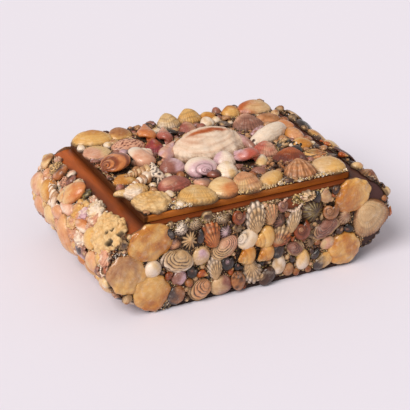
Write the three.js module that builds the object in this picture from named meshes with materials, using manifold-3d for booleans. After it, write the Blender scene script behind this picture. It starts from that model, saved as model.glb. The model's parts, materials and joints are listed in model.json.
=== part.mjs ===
// A shell-covered keepsake box: a low wooden box with rolled ends and a loose lid board, its lid,
// front, back and ends set with sea shells bedded in sand and glue.
// Millimetres, +Z up. The origin is the middle of the underside, and the front faces -Y.
import * as THREE from 'three';
import { mergeVertices } from 'three/addons/utils/BufferGeometryUtils.js';
import Module from 'manifold-3d';

const wasm = await Module();
wasm.setup();

// ---- Driving dimensions -------------------------------------------------------------------
const BODY_DEPTH = 191;        // front face to back face
const BODY_TOP = 90.4;         // top of the end strips and of the front and back boards
const END_RADIUS = 38;         // outside of the rolled ends
const END_CENTRE = 112;        // the roll's axis, out from the middle
const END_WALL = 5.5;          // thickness of an end board
const END_SWEEP = 165;         // degrees that the roll turns before it runs in to the foot
const ARC_STEPS = 18;          // flats along each roll
const STRIP_INNER = 104;       // inner edge of an end board's flat top
const FOOT_OUTER = 111;        // where the end boards meet the base
const FOOT_INNER = 105.5;
const BASE_THICKNESS = 4;
const BASE_WIDTH = 220;
const BASE_DEPTH = 194;
const PANEL_THICKNESS = 10;    // front and back boards
const LID_WIDTH = 220;
const LID_DEPTH = 183.7;
const LID_THICKNESS = 6.6;
const FIT = 0.3;               // clearance between glued or resting pieces
const BED = 1.5;               // thickness of the sand and glue
const BED_INSET = 1.5;         // bare rim left round each bed
const SINK = 1;                // how far a small shell is pressed into its bed
const SHELL_GAP = 0.4;         // clearance between neighbouring shells
const SMALLEST_IN_BED = 12.5;  // a shell shorter than this is part of the grit
const FUSED_SIDES = 6;
const OWN_SIDES = 11;
const RIBBED_SIDES = 16;

const END_CENTRE_Z = BODY_TOP - END_RADIUS;
const FRONT = -BODY_DEPTH / 2;
const LID_BOTTOM = BODY_TOP + FIT;
const LID_TOP = LID_BOTTOM + LID_THICKNESS;
const LID_CENTRE_Y = BODY_DEPTH / 2 - LID_DEPTH / 2;
const ROLL_START = 18;         // bare wood along the top of each roll, measured round it
const ROLL_END = END_RADIUS * THREE.MathUtils.degToRad(END_SWEEP - 3);

// ---- Colours and finishes -----------------------------------------------------------------
const WOOD = { color: 0x8a4420, roughness: 0.35, metalness: 0 };
const DARK_WOOD = { color: 0x2e1a12, roughness: 0.6, metalness: 0 };
const GRIT = { color: 0x9c7a58, roughness: 0.9, metalness: 0 };
const SHELL = { roughness: 0.45, metalness: 0 };
const TINTS = {
  gold: 0xd49a3c, straw: 0xdcbc7c, butter: 0xecc68c, cream: 0xe8cfa4, bone: 0xdccdb4,
  white: 0xf0e6d8, apricot: 0xdca068, peach: 0xe0b48c, orange: 0xc8782c, amber: 0xa86424,
  tan: 0xbe8c58, rose: 0xb87468, dusky: 0xb08878, pinkish: 0xdcb8a8, lilac: 0xc0a8b4,
  salmon: 0xd08070, crimson: 0xb04858, wine: 0x7c3c40, plum: 0x543440, mauve: 0xa87468,
  maroon: 0x6c3428, brown: 0x5c3824, slate: 0x50484c, black: 0x28201e,
};

// ---- Shells -------------------------------------------------------------------------------
// Each row: kind, place across, place up or back, width, length, height, turn in degrees that
// carries its beak or spire to the left of straight up, tint, and a name where it is a piece
// of its own. The places are from the middle of the lid and of the box, and on the ends the
// first place is measured round the roll from its top.
const LID_SHELLS = [
  ['oyster', -93, -70, 31, 31, 8, 10, 'cream', 'lid_rough_valve'],
  ['fan', -50, -76, 33, 29, 9, -15, 'straw', 'lid_yellow_fan'],
  ['clam', -22, -74, 25, 26, 11, -20, 'butter', 'lid_butter_clam'],
  ['cockle', 3, -75, 23, 28, 11, -8, 'apricot', 'lid_apricot_cockle'],
  ['clam', 30, -75, 17, 26, 8, -60, 'straw'],
  ['cockle', 62, -74, 27, 25, 13, -12, 'peach', 'lid_peach_cockle'],
  ['clam', 93, -74, 30, 26, 9, -20, 'straw', 'lid_corner_clam'],
  ['venus', 95, -45, 20, 15, 6, -20, 'butter'],
  ['clam', 95, -18, 19, 17, 7, -10, 'straw'],
  ['oyster', -98, -44, 24, 18, 8, 30, 'cream', 'lid_broken_valve'],
  ['cockle', -61, -46, 23, 32, 10, 110, 'rose', 'lid_rose_cockle'],
  ['clam', -98, -16, 22, 16, 6, 20, 'butter'],
  ['snail', -35, -58, 12, 12, 7, 0, 'brown'],
  ['snail', -17, -46, 11, 12, 7, 0, 'maroon'],
  ['turret', -89, -31, 8, 26, 8, 115, 'bone'],
  ['turret', -84, -5, 8, 20, 8, 100, 'bone'],
  ['turret', -67, -18, 10, 34, 9, -15, 'bone', 'lid_white_turret'],
  ['snail', -96, 12, 26, 28, 15, 20, 'orange', 'lid_banded_snail'],
  ['snail', -67, 15, 29, 22, 14, -60, 'white', 'lid_white_snail'],
  ['clam', -98, 54, 25, 25, 5, 30, 'pinkish', 'lid_flat_clam'],
  ['clam', -91, 84, 36, 24, 10, -10, 'gold', 'lid_golden_clam'],
  ['clam', -61, 83, 21, 20, 8, 10, 'straw'],
  ['venus', -64, 54, 30, 18, 8, -10, 'rose', 'lid_speckled_venus'],
  ['snail', -74, 37, 11, 11, 7, 0, 'slate'],
  ['snail', -88, 38, 12, 9, 5, 80, 'brown'],
  ['scallop', -43, 37, 16, 24, 10, -10, 'crimson', 'lid_crimson_scallop'],
  ['whelk', -38, 67, 17, 24, 12, -20, 'orange', 'lid_orange_whelk'],
  ['whelk', -24, 53, 14, 22, 12, -20, 'mauve'],
  ['whelk', -37, 17, 14, 32, 11, -45, 'pinkish', 'lid_pink_whelk'],
  ['oyster', 3, 15, 76, 48, 21, 0, 'cream', 'lid_great_oyster'],
  ['clam', 45, 12, 9, 28, 8, 15, 'lilac'],
  ['clam', 73, 12, 19, 47, 14, -66, 'white', 'lid_long_white_clam'],
  ['scallop', 53, -18, 19, 22, 10, -20, 'salmon', 'lid_salmon_scallop'],
  ['scallop', 67, -46, 29, 30, 11, -60, 'wine', 'lid_wine_scallop'],
  ['snail', -25, -33, 26, 24, 14, -40, 'lilac', 'lid_lilac_snail'],
  ['clam', -47, -14, 24, 19, 12, 10, 'dusky', 'lid_dusky_clam'],
  ['clam', 5, -23, 20, 18, 13, -20, 'lilac', 'lid_lilac_clam'],
  ['clam', -4, -46, 20, 20, 13, -15, 'white', 'lid_white_clam'],
  ['snail', 27, -27, 23, 26, 14, 30, 'pinkish', 'lid_rosy_snail'],
  ['clam', 99, 5, 16, 22, 8, 0, 'tan', 'lid_tan_clam'],
  ['clam', 100, 29, 19, 18, 7, 0, 'peach'],
  ['clam', 93, 52, 25, 16, 7, -10, 'tan'],
  ['cockle', 68, 49, 28, 26, 11, 0, 'dusky', 'lid_dusky_cockle'],
  ['mussel', 71, 28, 11, 21, 6, -55, 'slate'],
  ['clam', 32, 70, 13, 14, 8, 0, 'white'],
  ['cockle', -6, 84, 21, 19, 13, 0, 'butter', 'lid_cream_cockle'],
  ['cockle', 19, 86, 22, 18, 13, 0, 'butter', 'lid_butter_cockle'],
  ['clam', 40, 86, 16, 12, 6, 0, 'gold'],
  ['clam', 66, 83, 18, 17, 9, 0, 'gold'],
  ['clam', 92, 81, 32, 21, 11, -15, 'tan', 'lid_back_corner_clam'],
  ['snail', -13, 62, 10, 11, 7, 0, 'black'],
  ['cockle', 7, 64, 16, 17, 9, 0, 'dusky'],
  ['snail', 46, 58, 9, 16, 6, 0, 'slate'],
  ['clam', 40, -36, 11, 18, 7, -30, 'white'],
  ['curls', 47, -52, 14, 14, 5, 0, 'brown'],
  ['curls', 79, -14, 13, 14, 6, 0, 'black'],
  ['mussel', 83, -29, 12, 12, 7, 60, 'black'],
  ['clam', 28, -54, 12, 14, 5, 70, 'dusky'],
];
const FRONT_SHELLS = [
  ['jingle', -108, 75, 41, 33, 5, 10, 'gold', 'front_left_top_jingle'],
  ['jingle', -133, 47, 32, 38, 5, 30, 'gold', 'front_left_jingle'],
  ['jingle', -108, 22, 36, 32, 5, -60, 'straw', 'front_left_foot_jingle'],
  ['jingle', 108, 76, 35, 32, 5, 10, 'gold', 'front_right_top_jingle'],
  ['fan', 129, 48, 36, 37, 6, 30, 'peach', 'front_right_fan'],
  ['jingle', 100, 20, 32, 31, 6, 0, 'gold', 'front_right_foot_jingle'],
  ['clam', -107, 47, 16, 17, 6, 0, 'white'],
  ['venus', -82, 50, 31, 20, 7, -10, 'bone', 'front_banded_venus'],
  ['mussel', -89, 80, 8, 14, 4, 20, 'black'],
  ['barnacle', -77, 82, 13, 13, 5, 0, 'white'],
  ['barnacle', -60, 83, 16, 12, 4, 0, 'slate'],
  ['limpet', -84, 67, 13, 12, 5, 0, 'dusky'],
  ['star', -68, 68, 13, 16, 5, 0, 'bone'],
  ['mussel', -57, 70, 8, 14, 4, 0, 'black'],
  ['jingle', -57, 49, 17, 17, 5, 0, 'lilac'],
  ['jingle', -80, 31, 14, 14, 4, 0, 'lilac'],
  ['snail', -66, 34, 11, 11, 5, 0, 'black'],
  ['jingle', -83, 14, 17, 18, 4, 0, 'slate'],
  ['venus', -58, 13, 20, 20, 5, -30, 'bone'],
  ['cockle', -46, 68, 14, 23, 7, 180, 'orange'],
  ['barnacle', -33, 84, 14, 10, 4, 0, 'slate'],
  ['limpet', -31, 68, 12, 14, 5, 0, 'lilac'],
  ['venus', -32, 52, 27, 18, 7, -20, 'bone', 'front_ribbed_venus'],
  ['snail', -18, 82, 13, 13, 7, 0, 'maroon'],
  ['snail', -9, 57, 19, 18, 8, 60, 'white'],
  ['scallop', 0, 76, 18, 30, 7, 180, 'bone', 'front_tall_scallop'],
  ['whelk', 16, 77, 11, 20, 6, 0, 'pinkish'],
  ['snail', 29, 82, 11, 11, 6, 0, 'maroon'],
  ['limpet', 27, 68, 12, 17, 5, 0, 'lilac'],
  ['whelk', 9, 54, 20, 20, 8, 100, 'orange'],
  ['scallop', 28, 50, 20, 22, 6, 120, 'bone'],
  ['whelk', -10, 40, 17, 18, 8, 100, 'orange'],
  ['whelk', 10, 37, 16, 17, 8, 100, 'orange'],
  ['cockle', -2, 19, 17, 25, 6, 0, 'bone'],
  ['cockle', -43, 33, 12, 22, 5, 180, 'bone'],
  ['snail', -29, 35, 13, 13, 6, 0, 'black'],
  ['clam', -35, 12, 21, 19, 5, 0, 'white'],
  ['snail', -18, 14, 13, 18, 6, 0, 'orange'],
  ['snail', 12, 11, 17, 13, 6, 0, 'brown'],
  ['snail', 25, 35, 13, 13, 6, 0, 'black'],
  ['clam', 28, 19, 13, 19, 5, 0, 'white'],
  ['clam', 37, 12, 12, 14, 4, 0, 'white'],
  ['cockle', 40, 63, 13, 21, 6, 0, 'bone'],
  ['limpet', 50, 52, 16, 15, 7, 0, 'amber'],
  ['barnacle', 56, 84, 14, 13, 5, 0, 'bone'],
  ['mussel', 68, 83, 8, 14, 4, 0, 'black'],
  ['whelk', 77, 84, 12, 15, 5, 0, 'bone'],
  ['limpet', 63, 68, 22, 21, 7, 0, 'slate', 'front_dark_limpet'],
  ['limpet', 83, 65, 16, 15, 5, 0, 'amber'],
  ['scallop', 78, 46, 27, 17, 5, 180, 'dusky'],
  ['cockle', 99, 54, 14, 15, 5, 0, 'dusky'],
  ['clam', 80, 31, 15, 12, 4, 0, 'pinkish'],
  ['cockle', 45, 33, 14, 18, 5, 0, 'dusky'],
  ['clam', 53, 18, 13, 19, 5, 0, 'white'],
  ['jingle', 74, 12, 20, 15, 4, 30, 'slate'],
];
const LEFT_SHELLS = [
  ['oyster', 31, -73, 31, 42, 9, 0, 'cream', 'left_barnacled_oyster'],
  ['star', 24, -37, 15, 26, 6, 0, 'cream'],
  ['clam', 44, -56, 19, 18, 8, 60, 'butter'],
  ['barnacle', 33, -26, 11, 11, 5, 0, 'lilac'],
  ['cockle', 37, -13, 14, 12, 5, 0, 'straw'],
  ['snail', 30, 19, 22, 33, 12, 0, 'orange', 'left_orange_snail'],
  ['turret', 43, 42, 11, 26, 8, 90, 'bone'],
  ['clam', 45, 58, 22, 20, 7, 60, 'butter'],
  ['snail', 25, 54, 12, 19, 8, 0, 'brown'],
  ['snail', 26, 88, 14, 15, 7, 0, 'cream'],
  ['clam', 48, 83, 20, 22, 6, 0, 'pinkish'],
  ['clam', 41, 7, 11, 23, 6, 0, 'pinkish'],
  ['clam', 49, -14, 12, 13, 6, 0, 'cream'],
  ['clam', 52, 24, 12, 18, 6, 0, 'pinkish'],
  ['clam', 72, 4, 25, 42, 8, 80, 'peach', 'left_long_peach_clam'],
  ['clam', 42, -32, 10, 20, 6, 0, 'butter'],
  ['clam', 53, -36, 12, 18, 6, 0, 'white'],
  ['mussel', 64, -37, 12, 20, 5, 20, 'slate'],
  ['clam', 62, -66, 18, 20, 6, 0, 'peach'],
  ['clam', 74, -56, 14, 20, 5, 0, 'straw'],
  ['clam', 78, -30, 12, 14, 5, 0, 'gold'],
  ['clam', 79, -84, 16, 16, 5, 0, 'cream'],
  ['clam', 66, 45, 20, 20, 6, 40, 'pinkish'],
  ['clam', 66, 72, 18, 20, 6, 0, 'peach'],
  ['mussel', 94, -84, 9, 18, 4, 0, 'black'],
  ['mussel', 94, -60, 9, 16, 4, 0, 'black'],
];

// The back and the right end: rows of shells set one beside the next, in kinds and tints that
// take turns. A small counter gives each its own size and turn.
const MIXED = [
  ['clam', 'cream'], ['cockle', 'bone'], ['snail', 'brown'], ['clam', 'peach'],
  ['limpet', 'slate'], ['venus', 'bone'], ['clam', 'straw'], ['whelk', 'orange'],
  ['cockle', 'dusky'], ['snail', 'maroon'], ['clam', 'white'], ['mussel', 'black'],
  ['limpet', 'amber'], ['snail', 'cream'],
];
function rowsOfShells(rows, pitch, start) {
  const out = [];
  let count = start;
  for (const [up, from, to] of rows) {
    const across = Math.round((to - from) / pitch);
    for (let i = 0; i < across; i++) {
      const [kind, tint] = MIXED[(count * 5 + Math.floor(count / 3)) % MIXED.length];
      const place = from + (i + 0.5) * (to - from) / across;
      const width = pitch - 3 + (count * 7) % 4;
      const length = pitch - 3 + (count * 11) % 5;
      const turn = (count * 47) % 120 - 60;
      out.push([kind, place, up + (count * 13) % 5 - 2, width, length, 5 + count % 3, turn, tint]);
      count += 1;
    }
  }
  return out;
}
const BACK_SHELLS = [
  ['jingle', -110, 74, 38, 32, 5, 0, 'gold', 'back_left_jingle'],
  ['fan', -128, 46, 34, 36, 6, -30, 'peach', 'back_left_fan'],
  ['jingle', -106, 21, 34, 30, 5, 0, 'straw'],
  ['jingle', 110, 74, 38, 32, 5, 0, 'gold', 'back_right_jingle'],
  ['jingle', 128, 46, 34, 36, 5, 0, 'straw', 'back_right_side_jingle'],
  ['jingle', 106, 21, 34, 30, 5, 0, 'gold'],
  ...rowsOfShells([[75, -88, 88], [47, -106, 106], [19, -86, 86]], 25, 1),
];
const RIGHT_ROWS = [[31, -93, 93], [55, -93, 93], [80, -93, 93]];
const RIGHT_SHELLS = rowsOfShells(RIGHT_ROWS, 25, 5).map(([kind, along, round, ...rest]) =>
  [kind, round, along, ...rest]);

// ---- Faces that carry shells: where a place across, a place up and a height above the bed go
const onLid = (u, v, h) => [u, v, LID_TOP + FIT + BED + h];
const onFront = (u, v, h) => [u, FRONT - FIT - BED - h, v];
const onBack = (u, v, h) => [-u, -FRONT + FIT + BED + h, v];
const roundEnd = (side) => (u, v, h) => {
  const angle = Math.PI / 2 - u / END_RADIUS;
  const reach = END_RADIUS + FIT + BED + h;
  return [side * (END_CENTRE + reach * Math.cos(angle)), v, END_CENTRE_Z + reach * Math.sin(angle)];
};
const onLeft = roundEnd(-1);
const onRight = roundEnd(1);

// ---- Shapes of shells ---------------------------------------------------------------------
// Each kind: the outline's taper towards the spire or beak, how far its crown sits towards the
// beak, its ribs round the edge, and its profile as [share of the outline, share of the height].
const KINDS = {
  jingle: { taper: 0, crown: 0.1, ribs: 0, profile: [[0.9, 0.55], [0.5, 0.92]] },
  oyster: { taper: 0.1, crown: 0, ribs: 0, profile: [[0.9, 0.45], [0.62, 0.78], [0.3, 0.95]] },
  clam: { taper: 0.12, crown: 0.2, ribs: 0, profile: [[0.9, 0.5], [0.55, 0.88]] },
  venus: { taper: 0.12, crown: 0.25, ribs: 0, profile: [[0.92, 0.5], [0.6, 0.86]] },
  cockle: { taper: 0.3, crown: 0.3, ribs: 0.06, profile: [[0.9, 0.5], [0.55, 0.88]] },
  fan: { taper: 0.35, crown: 0.35, ribs: 0.05, profile: [[0.92, 0.45], [0.55, 0.85]] },
  scallop: { taper: 0.4, crown: 0.35, ribs: 0.08, profile: [[0.9, 0.5], [0.55, 0.86]] },
  limpet: { taper: 0, crown: 0, ribs: 0.05, profile: [[0.75, 0.42], [0.4, 0.78]] },
  barnacle: { taper: 0, crown: 0, ribs: 0.06, profile: [[0.8, 0.6], [0.55, 0.9]] },
  snail: { taper: 0.15, crown: 0.25, ribs: 0, profile: [[0.92, 0.5], [0.6, 0.85]] },
  whelk: { taper: 0.55, crown: -0.15, ribs: 0, profile: [[0.9, 0.55], [0.55, 0.9]] },
  turret: { taper: 0.75, crown: -0.3, ribs: 0, profile: [[0.9, 0.55], [0.5, 0.9]] },
  mussel: { taper: 0.5, crown: 0, ribs: 0, profile: [[0.85, 0.6], [0.45, 0.95]] },
  curls: { taper: 0, crown: 0, ribs: 0.1, profile: [[0.85, 0.6], [0.5, 0.95]] },
  star: { taper: 0, crown: 0, ribs: 0.25, profile: [[0.8, 0.5], [0.4, 0.85]] },
};

function outlineOf(kind, width, length, turn, sides) {
  const { taper, ribs } = KINDS[kind];
  const angle = THREE.MathUtils.degToRad(turn);
  const points = [];
  for (let i = 0; i < sides; i++) {
    const t = (i / sides) * 2 * Math.PI;
    const reach = 1 - (i % 2 ? ribs : 0);
    const y = (length / 2) * reach * Math.sin(t);
    const x = (width / 2) * reach * Math.cos(t) * (1 - taper * Math.sin(t));
    const p = new THREE.Vector2(x, y);
    points.push(p.rotateAround(new THREE.Vector2(), angle));
  }
  return points;
}

// The part of an outline on the near side of a straight line: keep where normal . p <= limit.
function clip(points, normal, limit) {
  const out = [];
  points.forEach((p, i) => {
    const q = points[(i + 1) % points.length];
    const a = p.dot(normal) - limit;
    const b = q.dot(normal) - limit;
    if (a <= 0) out.push(p);
    if (a * b < 0) out.push(p.clone().lerp(q, a / (a - b)));
  });
  return out;
}

// How far an outline reaches from its middle in one direction.
function reachTowards(points, direction) {
  return Math.max(...points.map((p) => p.dot(direction)));
}

// Neighbouring shells meet along a line between them, each cut back to its own side of it, and
// none passes the face's own limits.
function outlinesOf(rows, limits) {
  const full = rows.map(([kind, , , width, length, , turn, , name]) => {
    const ribbed = KINDS[kind].ribs > 0;
    const sides = name ? (ribbed ? RIBBED_SIDES : OWN_SIDES) : FUSED_SIDES;
    return outlineOf(kind, width, length, turn, sides);
  });
  return full.map((outline, i) => {
    let points = outline;
    rows.forEach((other, j) => {
      if (j === i) return;
      const apart = new THREE.Vector2(other[1] - rows[i][1], other[2] - rows[i][2]);
      const distance = apart.length();
      const direction = apart.clone().normalize();
      const mine = reachTowards(full[i], direction);
      const theirs = reachTowards(full[j], direction.clone().negate());
      if (mine + theirs > distance - SHELL_GAP) {
        const share = mine / (mine + theirs);
        points = clip(points, direction, distance * share - SHELL_GAP / 2);
      }
    });
    const place = new THREE.Vector2(rows[i][1], rows[i][2]);
    for (const [normal, limit] of limits) {
      points = clip(points, normal, limit - place.dot(normal));
    }
    return points;
  });
}

// A closed shell on one of the faces: its foot, its rings and its crown.
function shellGeometry(row, outline, onFace, foot, shorten) {
  const [kind, u, v, , length, height, turn] = row;
  const { crown, profile } = KINDS[kind];
  const angle = THREE.MathUtils.degToRad(turn);
  const lean = new THREE.Vector2(0, crown * length / 2).rotateAround(new THREE.Vector2(), angle);
  const rings = [[1, 0], ...(shorten ? profile.slice(0, 1) : profile)];
  const count = outline.length;
  const vertices = [];
  const faces = [];
  const put = (p, share, h) => {
    const x = u + p.x * share + lean.x * (1 - share);
    const y = v + p.y * share + lean.y * (1 - share);
    vertices.push(...onFace(x, y, h));
  };
  rings.forEach(([share, rise], r) => {
    outline.forEach((p) => put(p, share, r === 0 ? foot : rise * height));
  });
  const top = vertices.length / 3;
  put(new THREE.Vector2(), 0, height);
  const bottom = top + 1;
  vertices.push(...onFace(u, v, foot));
  for (let i = 0; i < count; i++) {
    const j = (i + 1) % count;
    faces.push(bottom, j, i);
    for (let r = 0; r + 1 < rings.length; r++) {
      const a = r * count + i;
      const b = r * count + j;
      faces.push(a, b, b + count, a, b + count, a + count);
    }
    const last = (rings.length - 1) * count;
    faces.push(last + i, last + j, top);
  }
  const geometry = new THREE.BufferGeometry();
  geometry.setAttribute('position', new THREE.Float32BufferAttribute(vertices, 3));
  geometry.setIndex(faces);
  return facingOut(geometry);
}

// ---- Closed solids ------------------------------------------------------------------------
function signedVolume(geometry) {
  const p = geometry.getAttribute('position');
  const index = geometry.getIndex();
  const [a, b, c] = [new THREE.Vector3(), new THREE.Vector3(), new THREE.Vector3()];
  let volume = 0;
  for (let i = 0; i < index.count; i += 3) {
    a.fromBufferAttribute(p, index.getX(i));
    b.fromBufferAttribute(p, index.getX(i + 1));
    c.fromBufferAttribute(p, index.getX(i + 2));
    volume += a.dot(b.cross(c)) / 6;
  }
  return volume;
}

// Faces that a mirrored face turned inwards are turned back.
function facingOut(geometry) {
  if (signedVolume(geometry) < 0) {
    const index = geometry.getIndex();
    for (let i = 0; i < index.count; i += 3) {
      const keep = index.getX(i);
      index.setX(i, index.getX(i + 1));
      index.setX(i + 1, keep);
    }
  }
  return geometry;
}

function toSolid(geometry) {
  const bare = geometry.clone();
  bare.deleteAttribute('normal');
  bare.deleteAttribute('uv');
  const merged = facingOut(mergeVertices(bare, 1e-4));
  return new wasm.Manifold(new wasm.Mesh({
    numProp: 3,
    vertProperties: new Float32Array(merged.getAttribute('position').array),
    triVerts: new Uint32Array(merged.getIndex().array),
  }));
}

function toGeometry(solid) {
  const { vertProperties, triVerts } = solid.getMesh();
  const geometry = new THREE.BufferGeometry();
  geometry.setAttribute('position', new THREE.BufferAttribute(vertProperties, 3));
  geometry.setIndex(new THREE.BufferAttribute(triVerts, 1));
  return geometry;
}

// ---- Boards -------------------------------------------------------------------------------
const box = new THREE.Group();

function addPiece(name, geometry, finish) {
  const mesh = new THREE.Mesh(geometry, new THREE.MeshStandardMaterial(finish));
  mesh.name = name;
  box.add(mesh);
  return mesh;
}

// Points round the roll at one distance from its axis, from straight up to the end of the sweep.
function rollPoints(radius) {
  return Array.from({ length: ARC_STEPS + 1 }, (_, i) => {
    const angle = THREE.MathUtils.degToRad(90 - (END_SWEEP * i) / ARC_STEPS);
    return new THREE.Vector2(
      END_CENTRE + radius * Math.cos(angle), END_CENTRE_Z + radius * Math.sin(angle));
  });
}
const mirrored = (points) => points.map((p) => new THREE.Vector2(-p.x, p.y)).reverse();

// An upright outline of x and z, carried from one y back to another.
function uprightSlab(outline, nearY, farY) {
  const depth = farY - nearY;
  const geometry = new THREE.ExtrudeGeometry(new THREE.Shape(outline), { depth, bevelEnabled: false });
  geometry.rotateX(Math.PI / 2);
  geometry.translate(0, farY, 0);
  return geometry;
}

// End board: a flat top strip that the roll carries on down and in to the foot.
const endOutline = [
  new THREE.Vector2(STRIP_INNER, BODY_TOP),
  ...rollPoints(END_RADIUS),
  new THREE.Vector2(FOOT_OUTER, BASE_THICKNESS + FIT),
  new THREE.Vector2(FOOT_INNER, BASE_THICKNESS + FIT),
  ...rollPoints(END_RADIUS - END_WALL).reverse(),
  new THREE.Vector2(STRIP_INNER, BODY_TOP - END_WALL),
];
addPiece('right_end', uprightSlab(endOutline, FRONT, -FRONT), WOOD);
addPiece('left_end', uprightSlab(mirrored(endOutline), FRONT, -FRONT), WOOD);

// Front and back boards: sawn to the inside of the two ends.
const panelHalf = [
  new THREE.Vector2(FOOT_INNER - FIT * 1.5, BASE_THICKNESS + FIT),
  ...rollPoints(END_RADIUS - END_WALL - FIT).reverse(),
  new THREE.Vector2(STRIP_INNER - FIT, BODY_TOP - END_WALL - FIT),
  new THREE.Vector2(STRIP_INNER - FIT, BODY_TOP),
];
const panelOutline = [...panelHalf, ...mirrored(panelHalf)];
addPiece('front_board', uprightSlab(panelOutline, FRONT, FRONT + PANEL_THICKNESS), WOOD);
addPiece('back_board', uprightSlab(panelOutline, -FRONT - PANEL_THICKNESS, -FRONT), WOOD);

function flatBoard(width, depth, thickness, y, z) {
  const geometry = new THREE.BoxGeometry(width, depth, thickness);
  geometry.translate(0, y, z + thickness / 2);
  return geometry;
}
addPiece('base_board', flatBoard(BASE_WIDTH, BASE_DEPTH, BASE_THICKNESS, 0, 0), DARK_WOOD);
addPiece('lid_board', flatBoard(LID_WIDTH, LID_DEPTH, LID_THICKNESS, LID_CENTRE_Y, LID_BOTTOM), WOOD);

// ---- Beds and shells ----------------------------------------------------------------------
const flatBed = (width, depth, y, z) => toSolid(flatBoard(width, depth, BED, y, z));

// The bed on a front or back board follows the box's whole outline, a rim short of it.
const bedHalf = [
  new THREE.Vector2(FOOT_OUTER - 2 * BED_INSET, BASE_THICKNESS + BED_INSET),
  ...rollPoints(END_RADIUS - BED_INSET).reverse(),
];
const bedOutline = [...bedHalf, ...mirrored(bedHalf)];
const uprightBed = (nearY, farY) => toSolid(uprightSlab(bedOutline, nearY, farY));

// The bed on a rolled end: a thin skin round the roll, bare along the top strip.
function rolledBed(side) {
  const steps = 11;
  const ring = (radius) => Array.from({ length: steps + 1 }, (_, i) => {
    const round = ROLL_START + ((ROLL_END - ROLL_START) * i) / steps;
    const angle = Math.PI / 2 - round / END_RADIUS;
    return new THREE.Vector2(
      END_CENTRE + radius * Math.cos(angle), END_CENTRE_Z + radius * Math.sin(angle));
  });
  const skin = [...ring(END_RADIUS + FIT + BED), ...ring(END_RADIUS + FIT).reverse()];
  const outline = side > 0 ? skin : mirrored(skin);
  return toSolid(uprightSlab(outline, FRONT + BED_INSET, -FRONT - BED_INSET));
}

// A round bar through a roll: shells of their own are hollowed underneath to sit on the curve.
function rollBar(side) {
  const radius = END_RADIUS + BED + 2 * FIT;
  const full = Array.from({ length: 72 }, (_, i) => {
    const angle = (i / 72) * 2 * Math.PI;
    return new THREE.Vector2(
      side * END_CENTRE + radius * Math.cos(angle), END_CENTRE_Z + radius * Math.sin(angle));
  });
  return toSolid(uprightSlab(full, FRONT - BED_INSET, -FRONT + BED_INSET));
}

function addShells(rows, onFace, limits, bed, bedName, bar) {
  const outlines = outlinesOf(rows, limits);
  let fused = bed;
  rows.forEach((row, i) => {
    const [, , , width, length, , , tint, name] = row;
    if (name) {
      const whole = shellGeometry(row, outlines[i], onFace, bar ? -SINK : FIT, false);
      const geometry = bar ? toGeometry(toSolid(whole).subtract(bar)) : whole;
      addPiece(name, geometry, { ...SHELL, color: TINTS[tint] });
    } else if (Math.max(width, length) >= SMALLEST_IN_BED) {
      fused = fused.add(toSolid(shellGeometry(row, outlines[i], onFace, -SINK, true)));
    }
  });
  addPiece(bedName, toGeometry(fused), GRIT);
}

// Straight lines that the shells on a face stay within: the way out, and how far.
const LEFTWARD = new THREE.Vector2(-1, 0);
const RIGHTWARD = new THREE.Vector2(1, 0);
const DOWNWARD = new THREE.Vector2(0, -1);
const UPWARD = new THREE.Vector2(0, 1);
const uprightLimits = [[DOWNWARD, -BASE_THICKNESS - 2 * FIT], [UPWARD, BODY_TOP - FIT]];
const roundLimits = [
  [LEFTWARD, -ROLL_START], [RIGHTWARD, ROLL_END], [DOWNWARD, -FRONT - FIT], [UPWARD, -FRONT - FIT],
];

const lidBed = flatBed(
  LID_WIDTH - 2 * BED_INSET, LID_DEPTH - 2 * BED_INSET, LID_CENTRE_Y, LID_TOP + FIT);
const frontBed = uprightBed(FRONT - FIT - BED, FRONT - FIT);
const backBed = uprightBed(-FRONT + FIT, -FRONT + FIT + BED);
addShells(LID_SHELLS, onLid, [], lidBed, 'lid_shell_bed');
addShells(FRONT_SHELLS, onFront, uprightLimits, frontBed, 'front_shell_bed');
addShells(BACK_SHELLS, onBack, uprightLimits, backBed, 'back_shell_bed');
addShells(LEFT_SHELLS, onLeft, roundLimits, rolledBed(-1), 'left_shell_bed', rollBar(-1));
addShells(RIGHT_SHELLS, onRight, roundLimits, rolledBed(1), 'right_shell_bed', rollBar(1));

export default box;
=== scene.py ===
# A shell-covered keepsake box, dressed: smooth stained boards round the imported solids, sand and
# glue on five faces, and every shell grown as its own surface. Metres, +Z up, front towards -Y.
import json
import math

import bpy
import numpy as np
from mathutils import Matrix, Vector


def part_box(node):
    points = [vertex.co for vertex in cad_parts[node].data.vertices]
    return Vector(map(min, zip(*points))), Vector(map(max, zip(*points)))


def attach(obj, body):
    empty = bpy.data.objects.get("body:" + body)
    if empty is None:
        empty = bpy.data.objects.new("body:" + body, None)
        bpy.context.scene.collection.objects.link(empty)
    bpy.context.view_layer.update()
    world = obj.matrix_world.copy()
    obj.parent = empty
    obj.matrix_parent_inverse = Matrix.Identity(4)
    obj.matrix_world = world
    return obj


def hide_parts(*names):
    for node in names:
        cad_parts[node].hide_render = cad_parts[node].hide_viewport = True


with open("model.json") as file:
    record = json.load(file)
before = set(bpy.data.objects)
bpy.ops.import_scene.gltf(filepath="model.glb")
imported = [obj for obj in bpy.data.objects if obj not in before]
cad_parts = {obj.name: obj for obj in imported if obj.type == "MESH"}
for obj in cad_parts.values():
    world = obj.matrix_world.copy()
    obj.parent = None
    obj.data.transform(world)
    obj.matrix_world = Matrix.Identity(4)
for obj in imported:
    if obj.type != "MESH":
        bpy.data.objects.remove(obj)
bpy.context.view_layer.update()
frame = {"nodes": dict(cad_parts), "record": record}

MM = 0.001

# ---- Camera -------------------------------------------------------------------------------
# A studio camera on a tripod, a little above the box and to the left of its front. A long
# lens keeps the sides of the box nearly parallel.
CAMERA_PLACE = (-0.5953, -1.2105, 0.7330)
CAMERA_DOWN = 27.03            # degrees below level
CAMERA_AZIMUTH = -26.02
CAMERA_LENS = 131.7

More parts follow.
